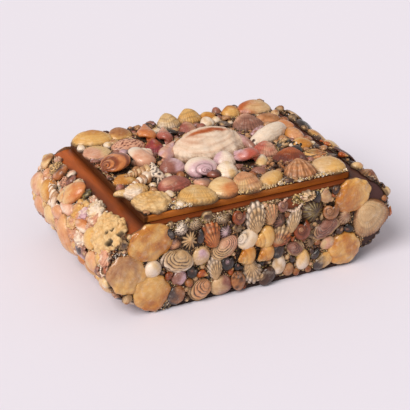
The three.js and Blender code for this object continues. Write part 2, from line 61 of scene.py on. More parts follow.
camera_data = bpy.data.cameras.new("studio_camera")
camera_data.lens = CAMERA_LENS
camera_data.sensor_width = 36.0
camera_data.clip_start = 0.05
camera = bpy.data.objects.new("studio_camera", camera_data)
camera.location = CAMERA_PLACE
camera.rotation_euler = (math.radians(90 - CAMERA_DOWN), 0.0, math.radians(CAMERA_AZIMUTH))
bpy.context.scene.collection.objects.link(camera)
bpy.context.scene.camera = camera


# ---- Floor and light ----------------------------------------------------------------------
# A pale matt sheet of card under the box, lit by a big soft box high on the left and by the
# pale room itself.
def add_node(tree, kind, inputs=None, **settings):
    """A shader node with its settings, and each input either linked or given a value."""
    made = tree.nodes.new(kind)
    for key, value in settings.items():
        setattr(made, key, value)
    for key, value in (inputs or {}).items():
        if isinstance(value, bpy.types.NodeSocket):
            tree.links.new(value, made.inputs[key])
        else:
            made.inputs[key].default_value = value
    return made


def linear(hex_colour, alpha=1.0):
    """A colour written as 0xRRGGBB on the screen's scale, as light: each part is taken to the
    power 2.4 after its offset, or divided by 12.92 where it is dark."""
    parts = np.array([(hex_colour >> shift) & 255 for shift in (16, 8, 0)]) / 255
    light = np.where(parts <= 0.04045, parts / 12.92, ((parts + 0.055) / 1.055) ** 2.4)
    return (*light.tolist(), alpha)


def bare_material(name):
    """A material with only its Principled shader and output."""
    material = bpy.data.materials.new(name)
    material.use_nodes = True
    return material, material.node_tree, material.node_tree.nodes["Principled BSDF"]


FLOOR_HALF = 4.0
card = bpy.data.meshes.new("card_floor")
card.from_pydata([(-FLOOR_HALF, -FLOOR_HALF, 0), (FLOOR_HALF, -FLOOR_HALF, 0),
                  (FLOOR_HALF, FLOOR_HALF, 0), (-FLOOR_HALF, FLOOR_HALF, 0)], [], [(0, 1, 2, 3)])
floor = bpy.data.objects.new("card_floor", card)
bpy.context.scene.collection.objects.link(floor)
card_material, _, card_shader = bare_material("pale_card")
card_shader.inputs["Base Color"].default_value = linear(0xE6E3F0)
card_shader.inputs["Roughness"].default_value = 0.9
card_shader.inputs["Specular IOR Level"].default_value = 0.1
card.materials.append(card_material)

room = bpy.data.worlds.new("pale_room")
room.use_nodes = True
room.node_tree.nodes["Background"].inputs["Color"].default_value = (1.0, 0.955, 0.92, 1.0)
room.node_tree.nodes["Background"].inputs["Strength"].default_value = 0.48
bpy.context.scene.world = room
bpy.context.scene.view_settings.view_transform = "Standard"

KEY_FROM = (-1.0, -0.5, 1.05)  # the way to the big soft box, and how wide it looks
KEY_WIDTH = math.radians(38)
key_data = bpy.data.lights.new("left_soft_box", "SUN")
key_data.energy = 2.75
key_data.angle = KEY_WIDTH
key_data.color = (1.0, 0.945, 0.88)
key_light = bpy.data.objects.new("left_soft_box", key_data)
key_light.rotation_euler = (math.atan2(math.hypot(*KEY_FROM[:2]), KEY_FROM[2]), 0.0,
                            math.atan2(KEY_FROM[0], -KEY_FROM[1]))
bpy.context.scene.collection.objects.link(key_light)


# ---- Stained boards -----------------------------------------------------------------------
# The box under the shells: two end boards bent into rolls, sawn front and back boards, a loose
# lid board and a thin base. All are close-grained wood, stained red-brown and varnished.
def link_math(tree, operation, first, second=0.0, third=0.0):
    """The output of one Math node."""
    inputs = {0: first, 1: second, 2: third}
    return add_node(tree, "ShaderNodeMath", inputs, operation=operation).outputs[0]


def link_mix(tree, amount, first, second, blend="MIX"):
    """The colour output of one Mix node."""
    made = add_node(tree, "ShaderNodeMix", {0: amount, 6: first, 7: second},
                    data_type="RGBA", blend_type=blend)
    return made.outputs[2]


def link_range(tree, value, low, high, to_low=0.0, to_high=1.0):
    """A value carried from one range to another, smoothly and held at its ends."""
    inputs = {"Value": value, "From Min": low, "From Max": high, "To Min": to_low,
              "To Max": to_high}
    return add_node(tree, "ShaderNodeMapRange", inputs,
                    interpolation_type="SMOOTHSTEP").outputs["Result"]


def link_noise(tree, vector, scale, detail=3.0, roughness=0.55):
    """The grey output of one Noise Texture node."""
    inputs = {"Vector": vector, "Scale": scale, "Detail": detail, "Roughness": roughness}
    return add_node(tree, "ShaderNodeTexNoise", inputs).outputs["Fac"]


def new_group(name, inputs, outputs):
    """An empty node group with its sockets, its input node and its output node."""
    group = bpy.data.node_groups.new(name, "ShaderNodeTree")
    for socket, kind in inputs.items():
        group.interface.new_socket(socket, in_out="INPUT", socket_type=kind)
    for socket, kind in outputs.items():
        group.interface.new_socket(socket, in_out="OUTPUT", socket_type=kind)
    return group, group.nodes.new("NodeGroupInput"), group.nodes.new("NodeGroupOutput")


VECTOR, FLOAT = "NodeSocketVector", "NodeSocketFloat"
grain_group, grain_in, grain_out = new_group(
    "wood_grain", {"Vector": VECTOR}, {"Figure": FLOAT, "Fibres": FLOAT, "Wear": FLOAT})
broad_figure = link_noise(grain_group, grain_in.outputs["Vector"], 1.0, 4.0)
fine_fibres = link_noise(grain_group, grain_in.outputs["Vector"], 9.0, 3.0, 0.7)
rubbed = link_noise(grain_group, grain_in.outputs["Vector"], 2.3, 5.0, 0.65)
grain_group.links.new(link_range(grain_group, broad_figure, 0.32, 0.68), grain_out.inputs["Figure"])
grain_group.links.new(link_range(grain_group, fine_fibres, 0.35, 0.7), grain_out.inputs["Fibres"])
grain_group.links.new(link_range(grain_group, rubbed, 0.56, 0.74), grain_out.inputs["Wear"])


# Dark brown painted as shade next to the lid's edges.
PAINTED_SHADE_BROWN = 0x2A120A


def wood_material(name, run, light, dark, worn, roughness, shade=None):
    """Stained wood: light and dark bands stretched along the way the grain runs, fine fibres,
    rubbed places, and a coat of varnish. run is the stretch of the pattern on each axis. shade
    paints shade on the board between two distances out from the middle: a dark band on the rolls
    beside the lid, and dark left and right edges on the lid itself."""
    material, tree, shader = bare_material(name)
    place = add_node(tree, "ShaderNodeTexCoord").outputs["Object"]
    stretched = add_node(tree, "ShaderNodeMapping", {"Vector": place, "Scale": run})
    grain = add_node(tree, "ShaderNodeGroup", node_tree=grain_group)
    tree.links.new(stretched.outputs["Vector"], grain.inputs["Vector"])
    figure, fibres, wear = (grain.outputs[key] for key in ("Figure", "Fibres", "Wear"))
    stain = link_mix(tree, figure, linear(dark), linear(light))
    stain = link_mix(tree, link_math(tree, "MULTIPLY", fibres, 0.35), stain, linear(dark))
    stain = link_mix(tree, link_math(tree, "MULTIPLY", wear, 0.4), stain, linear(worn))
    # Painted shade: darker near the lid's edges, where the lid shades the rolls and its own sides.
    if shade:
        out_from_middle = link_math(tree, "ABSOLUTE", add_node(
            tree, "ShaderNodeSeparateXYZ", {0: place}).outputs["X"])
        out_from_middle = link_math(tree, "MULTIPLY_ADD", figure, 0.003, out_from_middle)
        near, far, most = shade
        painted_shade = link_range(tree, out_from_middle, near, far, *most)
        stain = link_mix(tree, painted_shade, stain, linear(PAINTED_SHADE_BROWN))
    tree.links.new(stain, shader.inputs["Base Color"])
    tree.links.new(link_range(tree, wear, 0.0, 1.0, roughness, roughness + 0.2),
                   shader.inputs["Roughness"])
    shader.inputs["Coat Weight"].default_value = 0.05
    shader.inputs["Specular IOR Level"].default_value = 0.25
    shader.inputs["Coat Roughness"].default_value = 0.25
    bump = add_node(tree, "ShaderNodeBump", {"Height": fibres, "Strength": 0.25,
                                             "Distance": 0.0004})
    tree.links.new(bump.outputs["Normal"], shader.inputs["Normal"])
    return material


# The last figures of the end boards and the lid set where their painted shade lies beside the lid's
# edges.
end_wood = wood_material("varnished_end_board", (34, 5, 34), 0xB85A20, 0x70320E, 0xD08048, 0.4,
                         (0.1125, 0.121, (0.8, 0.0)))
# A darker copy of the end wood for the right roll, which faces away from the light: painted shade.
shaded_end_wood = wood_material("painted_shade_end_board", (34, 5, 34), 0x6E3A28, 0x42201A, 0x8E5A4A, 0.5,
                              (0.1125, 0.121, (0.6, 0.0)))
lid_wood = wood_material("varnished_lid_board", (6, 40, 60), 0xC4742C, 0x8A4614, 0xD08C48, 0.42,
                         (0.107, 0.1095, (0.0, 0.85)))
board_wood = wood_material("varnished_side_board", (6, 40, 40), 0x8A4420, 0x52260F, 0xA86038, 0.45)
base_wood = wood_material("stained_base_board", (7, 40, 60), 0x3A2018, 0x1E110D, 0x52301F, 0.55)

BOARD_BEVEL = 0.8 * MM
slots = {part["node"]: part["material_slot"] for part in frame["record"]["subparts"]}


def shown_piece(name, mesh, material, slot, *nodes):
    """A finished piece: its object at the origin with its material, hung on the root body, and the
    CAD nodes that it stands for hidden. slot is not used.
    """
    piece = bpy.data.objects.new(name, mesh)
    bpy.context.scene.collection.objects.link(piece)
    mesh.materials.append(material)
    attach(piece, "root")
    if nodes:
        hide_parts(*nodes)
    return piece


def soften(piece, width):
    """Rounds the sharp edges of a board."""
    bevel = piece.modifiers.new("worn_edges", "BEVEL")
    bevel.width = width
    bevel.segments = 3
    bevel.limit_method = "ANGLE"
    bevel.angle_limit = math.radians(40)


def sawn_board(node, material, bevel):
    """A flat board as its corners say, with rounded edges."""
    low, high = (np.array(corner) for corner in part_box(node))
    corners = np.array([[x, y, z] for z in (0, 1) for y in (0, 1) for x in (0, 1)])
    mesh = bpy.data.meshes.new(node + "_wood")
    faces = [(0, 2, 3, 1), (4, 5, 7, 6), (0, 1, 5, 4), (2, 6, 7, 3), (0, 4, 6, 2), (1, 3, 7, 5)]
    mesh.from_pydata((low + corners * (high - low)).tolist(), [], faces)
    mesh.update()
    soften(shown_piece(node + "_wood", mesh, material, slots[node], node), bevel)


sawn_board("base_board", base_wood, 0.6 * MM)
sawn_board("lid_board", lid_wood, BOARD_BEVEL)
for node in ("front_board", "back_board"):
    frame["nodes"][node].data.materials.clear()
    frame["nodes"][node].data.materials.append(board_wood)

ROLL_RADIUS = 38 * MM          # outside of a rolled end
END_WALL = 5.5 * MM
ROLL_SWEEP = math.radians(165)
FOOT_OUTER, FOOT_INNER = 111 * MM, 105.5 * MM
ROLL_STEPS, BOARD_STEPS = 48, 12
end_low, end_high = (np.array(corner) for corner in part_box("right_end"))
ROLL_CENTRE = end_high[0] - ROLL_RADIUS
ROLL_HEIGHT = end_high[2] - ROLL_RADIUS
BODY_FRONT, BODY_BACK, BODY_TOP = end_low[1], end_high[1], end_high[2]


def roll_profile(radius):
    """Points round the roll: the centre plus the radius times the cosine and sine of an angle
    that falls from straight up through the sweep."""
    angle = math.pi / 2 - np.linspace(0, ROLL_SWEEP, ROLL_STEPS + 1)
    return np.stack([ROLL_CENTRE + radius * np.cos(angle),
                     ROLL_HEIGHT + radius * np.sin(angle)], axis=1)


def rolled_end(side):
    """An end board: its outer and inner profiles carried from the front to the back, with the
    two cut ends closed by strips between the profiles."""
    outer = np.vstack([[end_low[0], BODY_TOP], roll_profile(ROLL_RADIUS), [FOOT_OUTER, end_low[2]]])
    inner = np.vstack([[end_low[0], BODY_TOP - END_WALL], roll_profile(ROLL_RADIUS - END_WALL),
                       [FOOT_INNER, end_low[2]]])
    loop = np.vstack([outer, inner[::-1]])
    count, half = len(loop), len(outer)
    depth = np.linspace(BODY_FRONT, BODY_BACK, BOARD_STEPS + 1)
    points = np.empty((BOARD_STEPS + 1, count, 3))
    points[..., 0] = side * loop[:, 0]
    points[..., 1] = depth[:, None]
    points[..., 2] = loop[:, 1]
    faces = []
    for step in range(BOARD_STEPS):
        a = step * count
        faces += [(a + i, a + (i + 1) % count, a + count + (i + 1) % count, a + count + i)
                  for i in range(count)]
    for start, order in ((0, -1), (BOARD_STEPS * count, 1)):
        for i in range(half - 1):
            strip = (start + i, start + i + 1, start + count - 2 - i, start + count - 1 - i)
            faces.append(strip[::order])
    faces = [face[::-1] for face in faces] if side > 0 else faces
    node = "right_end" if side > 0 else "left_end"
    mesh = bpy.data.meshes.new(node + "_wood")
    mesh.from_pydata(points.reshape(-1, 3).tolist(), [], faces)
    mesh.update()
    mesh.polygons.foreach_set("use_smooth", np.ones(len(mesh.polygons), dtype=bool))
    # The right roll takes the darker copy of the wood: painted shade.
    wood = shaded_end_wood if side > 0 else end_wood
    piece = shown_piece(node + "_wood", mesh, wood, slots[node], node)
    soften(piece, BOARD_BEVEL)


rolled_end(-1)
rolled_end(1)

# ---- Sand and glue ------------------------------------------------------------------------
# The shells are bedded in coarse shell sand mixed with brown glue. It lies a millimetre or two
# thick on the lid, the front, the back and both rolls, and is lumpy where it was pressed down.
FIT = 0.3 * MM                 # glue line between a bed and its board
BED = 1.5 * MM                 # thickness of the sand and glue
BED_RIM = 1.5 * MM             # bare rim left round each bed
lid_low, lid_high = (np.array(corner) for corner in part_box("lid_board"))
RISE = FIT + BED


def on_lid(place):
    """Across, back and up from the lid: plainly x, y and z."""
    return place + np.array([0, 0, lid_high[2] + RISE])


def on_front(place):
    """Across and up the front, and out towards the viewer."""
    return np.stack([place[..., 0], BODY_FRONT - RISE - place[..., 2], place[..., 1]], axis=-1)


def on_back(place):
    """Across and up the back, and out away from the front."""
    return np.stack([-place[..., 0], BODY_BACK + RISE + place[..., 2], place[..., 1]], axis=-1)


def round_roll(side):
    """Round the roll from its top, along the box, and out from the roll: the distance round
    becomes an angle, and x and z are its cosine and sine times the distance from the axis."""
    def on_roll(place):
        angle = math.pi / 2 - place[..., 0] / ROLL_RADIUS
        reach = ROLL_RADIUS + RISE + place[..., 2]
        return np.stack([side * (ROLL_CENTRE + reach * np.cos(angle)), place[..., 1],
                         ROLL_HEIGHT + reach * np.sin(angle)], axis=-1)
    return on_roll


FACES = {"lid": on_lid, "front": on_front, "back": on_back,
         "left": round_roll(-1), "right": round_roll(1)}


def unevenness(points, size, seed):
    """Smooth bumps between about -1 and 1: a dozen sine waves of about one size, in directions
    drawn from the seed, added up."""
    draw = np.random.default_rng(seed)
    ways = draw.normal(size=(12, 3))
    ways /= np.linalg.norm(ways, axis=1)[:, None]
    ways *= draw.uniform(0.6, 1.5, size=(12, 1)) * 2 * math.pi / size
    return np.sin(points @ ways.T + draw.uniform(0, 2 * math.pi, 12)).sum(axis=-1) / 3.5


def clamped(values):
    """Values held between 0 and 1, eased at both ends: 3 v squared less 2 v cubed."""
    held = np.clip(values, 0, 1)
    return held * held * (3 - 2 * held)


def half_width(up):
    """Half the width of the front at a height: the roll's profile read at that height."""
    profile = np.vstack([roll_profile(ROLL_RADIUS), [FOOT_OUTER, end_low[2]]])
    return np.interp(up, profile[::-1, 1], profile[::-1, 0])


def grid_faces(rows, cols):
    """The triangles of an open grid of points, two to a cell."""
    row, col = np.meshgrid(np.arange(rows - 1), np.arange(cols - 1), indexing="ij")
    a = (row * cols + col).ravel()
    return np.concatenate([np.stack([a, a + 1, a + cols + 1], 1),
                           np.stack([a, a + cols + 1, a + cols], 1)])


def outward(points, faces):
    """The faces, each turned round if the solid that they close has a volume below zero: the
    sum of every corner's triple product."""
    a, b, c = (points[faces[:, k]] - points.mean(axis=0) for k in range(3))
    volume = np.einsum("ij,ij->i", a, np.cross(b, c)).sum()
    return faces if volume > 0 else faces[:, ::-1]


def mesh_of(name, points, faces, smooth=True):
    """A mesh of triangles from whole arrays."""
    mesh = bpy.data.meshes.new(name)
    mesh.vertices.add(len(points))
    mesh.vertices.foreach_set("co", np.ascontiguousarray(points, dtype=np.float32).ravel())
    mesh.loops.add(faces.size)
    mesh.loops.foreach_set("vertex_index", np.ascontiguousarray(faces, dtype=np.int32).ravel())
    mesh.polygons.add(len(faces))
    mesh.polygons.foreach_set("loop_start", np.arange(0, faces.size, 3, dtype=np.int32))
    mesh.polygons.foreach_set("use_smooth", np.full(len(faces), smooth))
    mesh.update(calc_edges=True)
    return mesh


def bed_slab(top, under):
    """A closed slab from an upper and a lower grid of points: both grids and the rim."""
    rows, cols, _ = top.shape
    points = np.concatenate([top.reshape(-1, 3), under.reshape(-1, 3)])
    index = np.arange(rows * cols).reshape(rows, cols)
    rim = np.concatenate([index[0, :-1], index[:-1, -1], index[-1, :0:-1], index[:0:-1, 0]])
    after = np.roll(rim, -1)
    below, below_after = rim + rows * cols, after + rows * cols
    upper = grid_faces(rows, cols)
    faces = np.concatenate([upper, upper[:, ::-1] + rows * cols,
                            np.stack([rim, below, after], 1), np.stack([after, below, below_after], 1)])
    return points, outward(points, faces)


mortar, mortar_tree, mortar_shader = bare_material("sand_and_glue")
mortar_place = add_node(mortar_tree, "ShaderNodeTexCoord").outputs["Object"]
mortar_sand = add_node(mortar_tree, "ShaderNodeTexVoronoi", {"Vector": mortar_place, "Scale": 900.0})
mortar_lumps = link_noise(mortar_tree, mortar_place, 160.0, 6.0, 0.7)
mortar_tint = add_node(mortar_tree, "ShaderNodeAttribute", attribute_name="tint")
mortar_colour = link_mix(mortar_tree, link_range(mortar_tree, mortar_lumps, 0.4, 0.65),
                         linear(0x1E120C), mortar_tint.outputs["Color"])
mortar_grain = link_range(mortar_tree, mortar_sand.outputs["Color"], 0.5, 0.9)
mortar_colour = link_mix(mortar_tree, link_math(mortar_tree, "MULTIPLY", mortar_grain, 0.22),
                         mortar_colour, linear(0xC49A70))
mortar_colour = link_mix(mortar_tree, mortar_tint.outputs["Alpha"], mortar_colour,
                         mortar_tint.outputs["Color"])
mortar_tree.links.new(mortar_colour, mortar_shader.inputs["Base Color"])
mortar_shader.inputs["Roughness"].default_value = 0.75
mortar_bump = add_node(mortar_tree, "ShaderNodeBump", {"Height": mortar_lumps, "Strength": 0.8,
                                                       "Distance": 0.0012})
mortar_tree.links.new(mortar_bump.outputs["Normal"], mortar_shader.inputs["Normal"])

ROLL_START = 18 * MM           # bare wood along the top of each roll
ROLL_END = ROLL_RADIUS * (ROLL_SWEEP - math.radians(3))
LUMP_SIZE = 9 * MM
LUMP_HEIGHT = 0.8 * MM
BED_TINTS = {"lid": 0x4A3120, "front": 0x3C2212, "back": 0x3C2719, "left": 0xA88260, "right": 0x46301F}


# Bare wood left between the shells: face, middle across and up, half width and half height,
# in millimetres, and the wood's tint there.
BARE_PATCHES = [
    ("front", 40, 82, 12, 6, 0x8A4420), ("front", 134, 76, 14, 13, 0x4C2A26),
    ("front", 134, 18, 14, 13, 0x3A201C), ("front", -146, 72, 7, 14, 0x4A281C),
    ("left", 21, 2, 6, 9, 0x50281A), ("left", 56, -92, 7, 5, 0xB46848),
    ("lid", -86, -89, 10, 3, 0x3A1C10),
]


def bed_spans(face):
    """The across and up places of a bed's grid, which follow the outline of its face."""
    if face == "lid":
        across = np.linspace(lid_low[0] + BED_RIM, lid_high[0] - BED_RIM, 81)
        up = np.linspace(lid_low[1] + BED_RIM, lid_high[1] - BED_RIM, 68)
        return np.meshgrid(across, up)
    if face in ("left", "right"):
        round_way = np.linspace(ROLL_START, ROLL_END, 42)
        along = np.linspace(BODY_FRONT + BED_RIM, BODY_BACK - BED_RIM, 87)
        return np.meshgrid(round_way, along)
    up = np.linspace(end_low[2] + BED_RIM, BODY_TOP - BED_RIM, 34)
    share, up = np.meshgrid(np.linspace(-1, 1, 105), up)
    return share * (half_width(up) - BED_RIM), up


for face, place_on in FACES.items():
    across, up = bed_spans(face)
    flat = np.stack([across, up, np.zeros_like(up)], axis=-1)
    lumps = unevenness(flat, LUMP_SIZE, 11) + 0.6 * unevenness(flat, LUMP_SIZE / 2.5, 12)
    edge = np.ones_like(up)
    edge[[0, -1], :] = 0
    edge[:, [0, -1]] = 0
    tints = np.ones((*up.shape, 4)) * linear(BED_TINTS[face])
    tints[..., 3] = 0
    for patch_face, middle, level, half, tall, tint in BARE_PATCHES:
        if patch_face == face:
            off = np.hypot((across - middle * MM) / (half * MM), (up - level * MM) / (tall * MM))
            bare = clamped(3 * (1.15 - off))[..., None]
            tints = tints + bare * (linear(tint) - tints)
            edge = edge * (1 - bare[..., 0])
    top = flat + np.stack([0 * up, 0 * up, edge * LUMP_HEIGHT * (lumps + 0.6)], axis=-1)
    under = flat - np.array([0, 0, BED])
    points, faces = bed_slab(place_on(top), place_on(under))
    bed_mesh = mesh_of(face + "_sand", points, faces)
    tints = np.tile(tints.reshape(-1, 4), (2, 1))
    bed_mesh.attributes.new("tint", "FLOAT_COLOR", "POINT").data.foreach_set("color", tints.ravel())
    shown_piece(face + "_sand", bed_mesh, mortar, "sand_and_glue", face + "_shell_bed")

# ---- Two-part shells ----------------------------------------------------------------------
# Half shells of clams, cockles, scallops, mussels, oysters and thin golden jingle shells,
# glued hollow side down. Each kept the growth rings and ribs that it had in the sea.
TINTS = {
    "gold": 0xD0963F, "straw": 0xE4BE7C, "butter": 0xE6C284, "cream": 0xE6CA9C, "bone": 0xDDC098,
    "white": 0xF1E2D2, "apricot": 0xDB9C64, "peach": 0xDFAE84, "orange": 0xC4722C,
    "amber": 0xA0561E, "tan": 0xB98452, "rose": 0xBC7464, "dusky": 0xAE7F6C, "pinkish": 0xE0B49A,
    "lilac": 0xDCBEC4, "salmon": 0xD27E68, "crimson": 0xB04250, "wine": 0x86422E,
    "mauve": 0xAC7464, "maroon": 0x64341F, "brown": 0x5C3820, "slate": 0x5E4840,
    "black": 0x2A1C15, "sand": 0xC89E74, "olive": 0x9A8648,
}


def painted(style, local, around, along, seed):
    """How much of a shell's second colour shows at each point, from 0 to 1. local is the place
    within the shell from -1 to 1 across and along it and from 0 to 1 in height, around is the
    angle round it, and along runs from its beak or tip to its margin or mouth."""
    x, y, z = local[..., 0], local[..., 1], local[..., 2]
    patchy = 0.25 * unevenness(local, 1.1, seed)
    if style == "crown":
        return clamped(1.15 - 1.5 * along + patchy)
    if style == "margin":
        return clamped(2.4 * along - 1.5 + patchy)
    if style == "left":
        return clamped(0.45 - 0.9 * x + patchy)
    if style == "right":
        return clamped(0.45 + 0.9 * x + patchy)
    if style == "front":
        return clamped(0.45 - 0.9 * y + patchy)
    if style == "back":
        return clamped(0.45 + 0.9 * y + patchy)
    if style == "rays":
        return clamped(0.5 + 0.9 * np.sin(13 * around + 2 * patchy) * along + patchy)
    if style == "bands":
        return clamped(0.5 + 0.9 * np.sin(30 * along + 3 * patchy))
    if style == "whorls":
        return clamped(0.4 + 0.7 * np.cos(5 * around + 2 * patchy))
    if style == "spots":
        return clamped(4 * unevenness(local, 0.28, seed) - 1.1)
    if style == "speckles":
        return clamped(2.5 * unevenness(local, 0.2, seed) + np.sin(44 * along) - 1.0)
    if style == "streak":
        layers = 0.05 + 0.1 * clamped(np.sin(40 * along + 6 * patchy)) + 0.16 * clamped(4 * patchy)
        return np.maximum(layers, clamped(1.7 - np.hypot((x - 0.06) / 0.46, (y - 0.2 + 0.1 * x) / 0.11)))
    if style == "mottled":
        return clamped(0.4 + 0.45 * unevenness(local, 0.9, seed) + 0.35 * (along - 0.7))
    if style == "pits":
        return clamped(2.4 - 2.0 * pit_reach(x * PITTED_HALF[0], y * PITTED_HALF[1]))
    if style == "hole":
        return clamped(3 - 2 * np.hypot(x / 0.12, (y + 0.86) / 0.05))
    return clamped(0.3 + 1.6 * patchy)


def pit_reach(x, y):
    """How far each place is from the nearest bored hole's middle, over that hole's radius. The
    holes are squarish: the two distances are cubed, added, and the cube root is taken."""
    off = [(np.abs(x - at_x) ** 3 + np.abs(y - at_y) ** 3) ** (1 / 3) / radius
           for at_x, at_y, radius in PITS]
    return np.min(off, axis=0)


def surface_normals(points):
    """Unit normals of a closed grid: the cross product of the steps along and round it."""
    along = np.gradient(points, axis=0)
    ahead, behind = np.roll(points, -1, axis=1), np.roll(points, 1, axis=1)
    normal = np.cross(along, ahead - behind)
    return normal / np.maximum(np.linalg.norm(normal, axis=-1, keepdims=True), 1e-9)


def raise_relief(points, depth):
    """Moves each point out along its normal. The normals are turned to point away from the
    middle of the shell."""
    normal = surface_normals(points)
    away = points - points.reshape(-1, 3).mean(axis=0)
    sign = np.sign((normal * away).sum(axis=-1).mean())
    return points + normal * sign * depth[..., None]


# Narrowing towards the beak, how square the dome is (less is squarer), how far its crown leans
# to the beak, the beak's own bump, ribs, ring ridges and how far they wander, lumps and their
# size, a ragged edge, and how brown the grooves are. Depths are shares of the breadth.
VALVES = {
    "clam": dict(taper=0.10, dome=0.5, lean=0.2, umbo=0.04, ribs=0, rib=0.0, rings=6, ring=0.0025,
                 wander=0.05, lumps=0.012, lump=0.5, ragged=0.012, stain=0.07),
    "venus": dict(taper=0.1, dome=0.55, lean=0.25, umbo=0.1, ribs=0, rib=0.0, rings=7, ring=0.05,
                  wander=0.05, lumps=0.015, lump=0.4, ragged=0.015, stain=1.0),
    "cockle": dict(taper=0.2, dome=0.58, lean=0.3, umbo=0.1, ribs=30, rib=0.009, rings=4, ring=0.006,
                   wander=0.04, lumps=0.012, lump=0.5, ragged=0.012, stain=0.3),
    "fan": dict(taper=0.26, dome=0.6, lean=0.2, umbo=0.08, ribs=38, rib=0.006, rings=5, ring=0.005,
                wander=0.04, lumps=0.014, lump=0.5, ragged=0.012, stain=0.22),
    "scallop": dict(taper=0.24, dome=0.5, lean=0.2, umbo=0.1, ribs=13, rib=0.04, rings=5, ring=0.006,
                    wander=0.04, lumps=0.02, lump=0.5, ragged=0.02, stain=0.6),
    "jingle": dict(taper=0.02, dome=0.36, lean=0.1, umbo=0.03, ribs=0, rib=0.0, rings=3, ring=0.006,
                   wander=0.2, lumps=0.022, lump=0.3, ragged=0.014, stain=0.05),
    "oyster": dict(taper=0.0, dome=0.42, lean=0.1, umbo=0.0, ribs=0, rib=0.0, rings=4, ring=0.012,
                   wander=0.22, lumps=0.03, lump=0.3, ragged=0.045, stain=0.15, crust=0.02),
    "great": dict(taper=0.0, dome=0.52, lean=0.5, umbo=0.0, ribs=0, rib=0.0, rings=7, ring=0.011,
                  wander=0.06, lumps=0.01, lump=0.35, ragged=0.02, stain=0.08, hem=0.045),
    "pitted": dict(taper=0.0, dome=0.36, lean=0.0, umbo=0.0, ribs=0, rib=0.0, rings=2, ring=0.008,
                   wander=0.3, lumps=0.03, lump=0.3, ragged=0.09, stain=0.1, crust=0.04),
    "crust": dict(taper=0.0, dome=0.5, lean=0.0, umbo=0.0, ribs=0, rib=0.0, rings=2, ring=0.01,
                  wander=0.3, lumps=0.05, lump=0.4, ragged=0.08, stain=0.15, crust=0.09),
    "mussel": dict(taper=0.4, dome=0.55, lean=0.1, umbo=0.05, ribs=0, rib=0.0, rings=6, ring=0.005,
                   wander=0.04, lumps=0.01, lump=0.5, ragged=0.01, stain=0.2),
}
CRUST_SIZE = 0.2               # bumps of the crust, as a share of the breadth
UMBO_REACH = 0.14              # how far a beak's bump reaches, as a share of the length
PITS = [(-6, -9, 2.1), (-8, -19, 2.9), (-1, -7, 1.7), (3, -18, 3.2)]   # bored holes: place, radius
PIT_DEPTH, PIT_RIM = 6 * MM, 0.8 * MM
PITTED_HALF = (18.3, 24.8)
MARGIN_DEPTH = 1.2 * MM        # how far a margin is pressed into the sand
MARGIN_SHARE = 0.98            # how much the pressed part draws in


def valve(kind, size, seed, detail):
    """A half shell grows at its margin, so it is a family of outlines. The outline is an ellipse
    narrowed towards the beak, and each earlier one is the last made smaller about the beak. The
    height is an ellipsoid's, one less the squared share of the way to the outline taken to a
    power, leaning to the beak, where a small round bump is added. Ribs are a cosine of the
    angle round the outline, and ring ridges are a saw tooth of the scale, fading at the hinge."""
    look = VALVES[kind]
    width, length, height = size
    ribbed = look["ribs"] > 0
    cols = ((12, 20), (26, 60), (66, 116))[detail][ribbed]
    rows = (6, 34 if kind == "venus" else 14, 48)[detail]
    if kind in ("pitted", "crust"):
        cols, rows = ((14, 7), (52, 26), (170, 96))[detail]
    around = np.linspace(0, 2 * math.pi, cols, endpoint=False)[None, :]
    draw = np.random.default_rng(seed)
    beak = np.array([draw.uniform(-0.12, 0.12) * width, (0.47 if kind == "venus" else 0.36) * length])
    scale = 0.03 + 0.97 * np.sin(np.linspace(0, math.pi / 2, rows))[:, None]
    ring_round = np.stack([np.cos(around), np.sin(around), 0 * around], -1)
    ragged = 1 + look["ragged"] * unevenness(ring_round, 1.6, seed + 5)
    x = 0.5 * width * np.sin(around) * (1 - look["taper"] * np.cos(around))
    y = 0.5 * length * np.cos(around)
    x, y = beak[0] + scale * (x - beak[0]), beak[1] + scale * (y - beak[1])
    share_y = 2 * y / length
    share_x = 2 * x / (width * (1 - look["taper"] * share_y))
    z = np.clip(1 - share_x ** 2 - share_y ** 2, 0, 1) ** look["dome"] * (1 + look["lean"] * share_y)
    off_beak = np.hypot(x - beak[0], y - beak[1]) / (UMBO_REACH * length)
    z = z / z.max() + look["umbo"] * np.exp(-off_beak ** 2)
    points = np.stack([x * ragged, y * ragged, height * z / z.max()], axis=-1)
    breadth = min(width, length)
    spread = clamped((0.85 - np.cos(around)) / 0.8)
    wave = np.cos(look["ribs"] * around)
    drift = look["wander"] * unevenness(points / breadth, 0.7, seed + 2)
    tooth = (look["rings"] * (scale + drift)) % 1.0
    ringed = clamped(3 * scale - 0.4) * clamped((1.25 - np.cos(around)) / 0.7)
    relief = look["rib"] * wave * spread * scale
    relief = relief + look["ring"] * (tooth ** 2 - 0.4) * ringed
    relief = relief + look["lumps"] * unevenness(points / breadth, look["lump"], seed + 3) * scale
    if "hem" in look:
        relief = relief + look["hem"] * unevenness(points / breadth, 0.3, seed + 6) * scale ** 5
    if "crust" in look:
        bumps = np.abs(unevenness(points / breadth, CRUST_SIZE, seed + 4))
        relief = relief + look["crust"] * (bumps - 0.4) * clamped(3 * scale)
    points = raise_relief(points, relief * breadth)
    groove = (look["rib"] > 0) * clamped(-wave * 2.0 - 0.5) * spread * clamped(3 * scale)
    groove = look["stain"] * np.maximum(groove, clamped(1.4 - 2.6 * tooth) * ringed)
    if kind == "pitted":
        off = pit_reach(points[..., 0] / MM, points[..., 1] / MM)
        points[..., 2] += PIT_RIM * clamped(2.2 - 1.2 * off) - PIT_DEPTH * clamped(2.6 - 2.4 * off)
    skirt = points[-1:] * np.array([MARGIN_SHARE, MARGIN_SHARE, 0]) - np.array([0, 0, MARGIN_DEPTH])
    points = np.concatenate([points, skirt])
    along = np.concatenate([scale, [[1.0]]]) * np.ones_like(around)
    groove = np.concatenate([groove, groove[-1:]])
    return points, np.broadcast_to(around, along.shape), along, groove


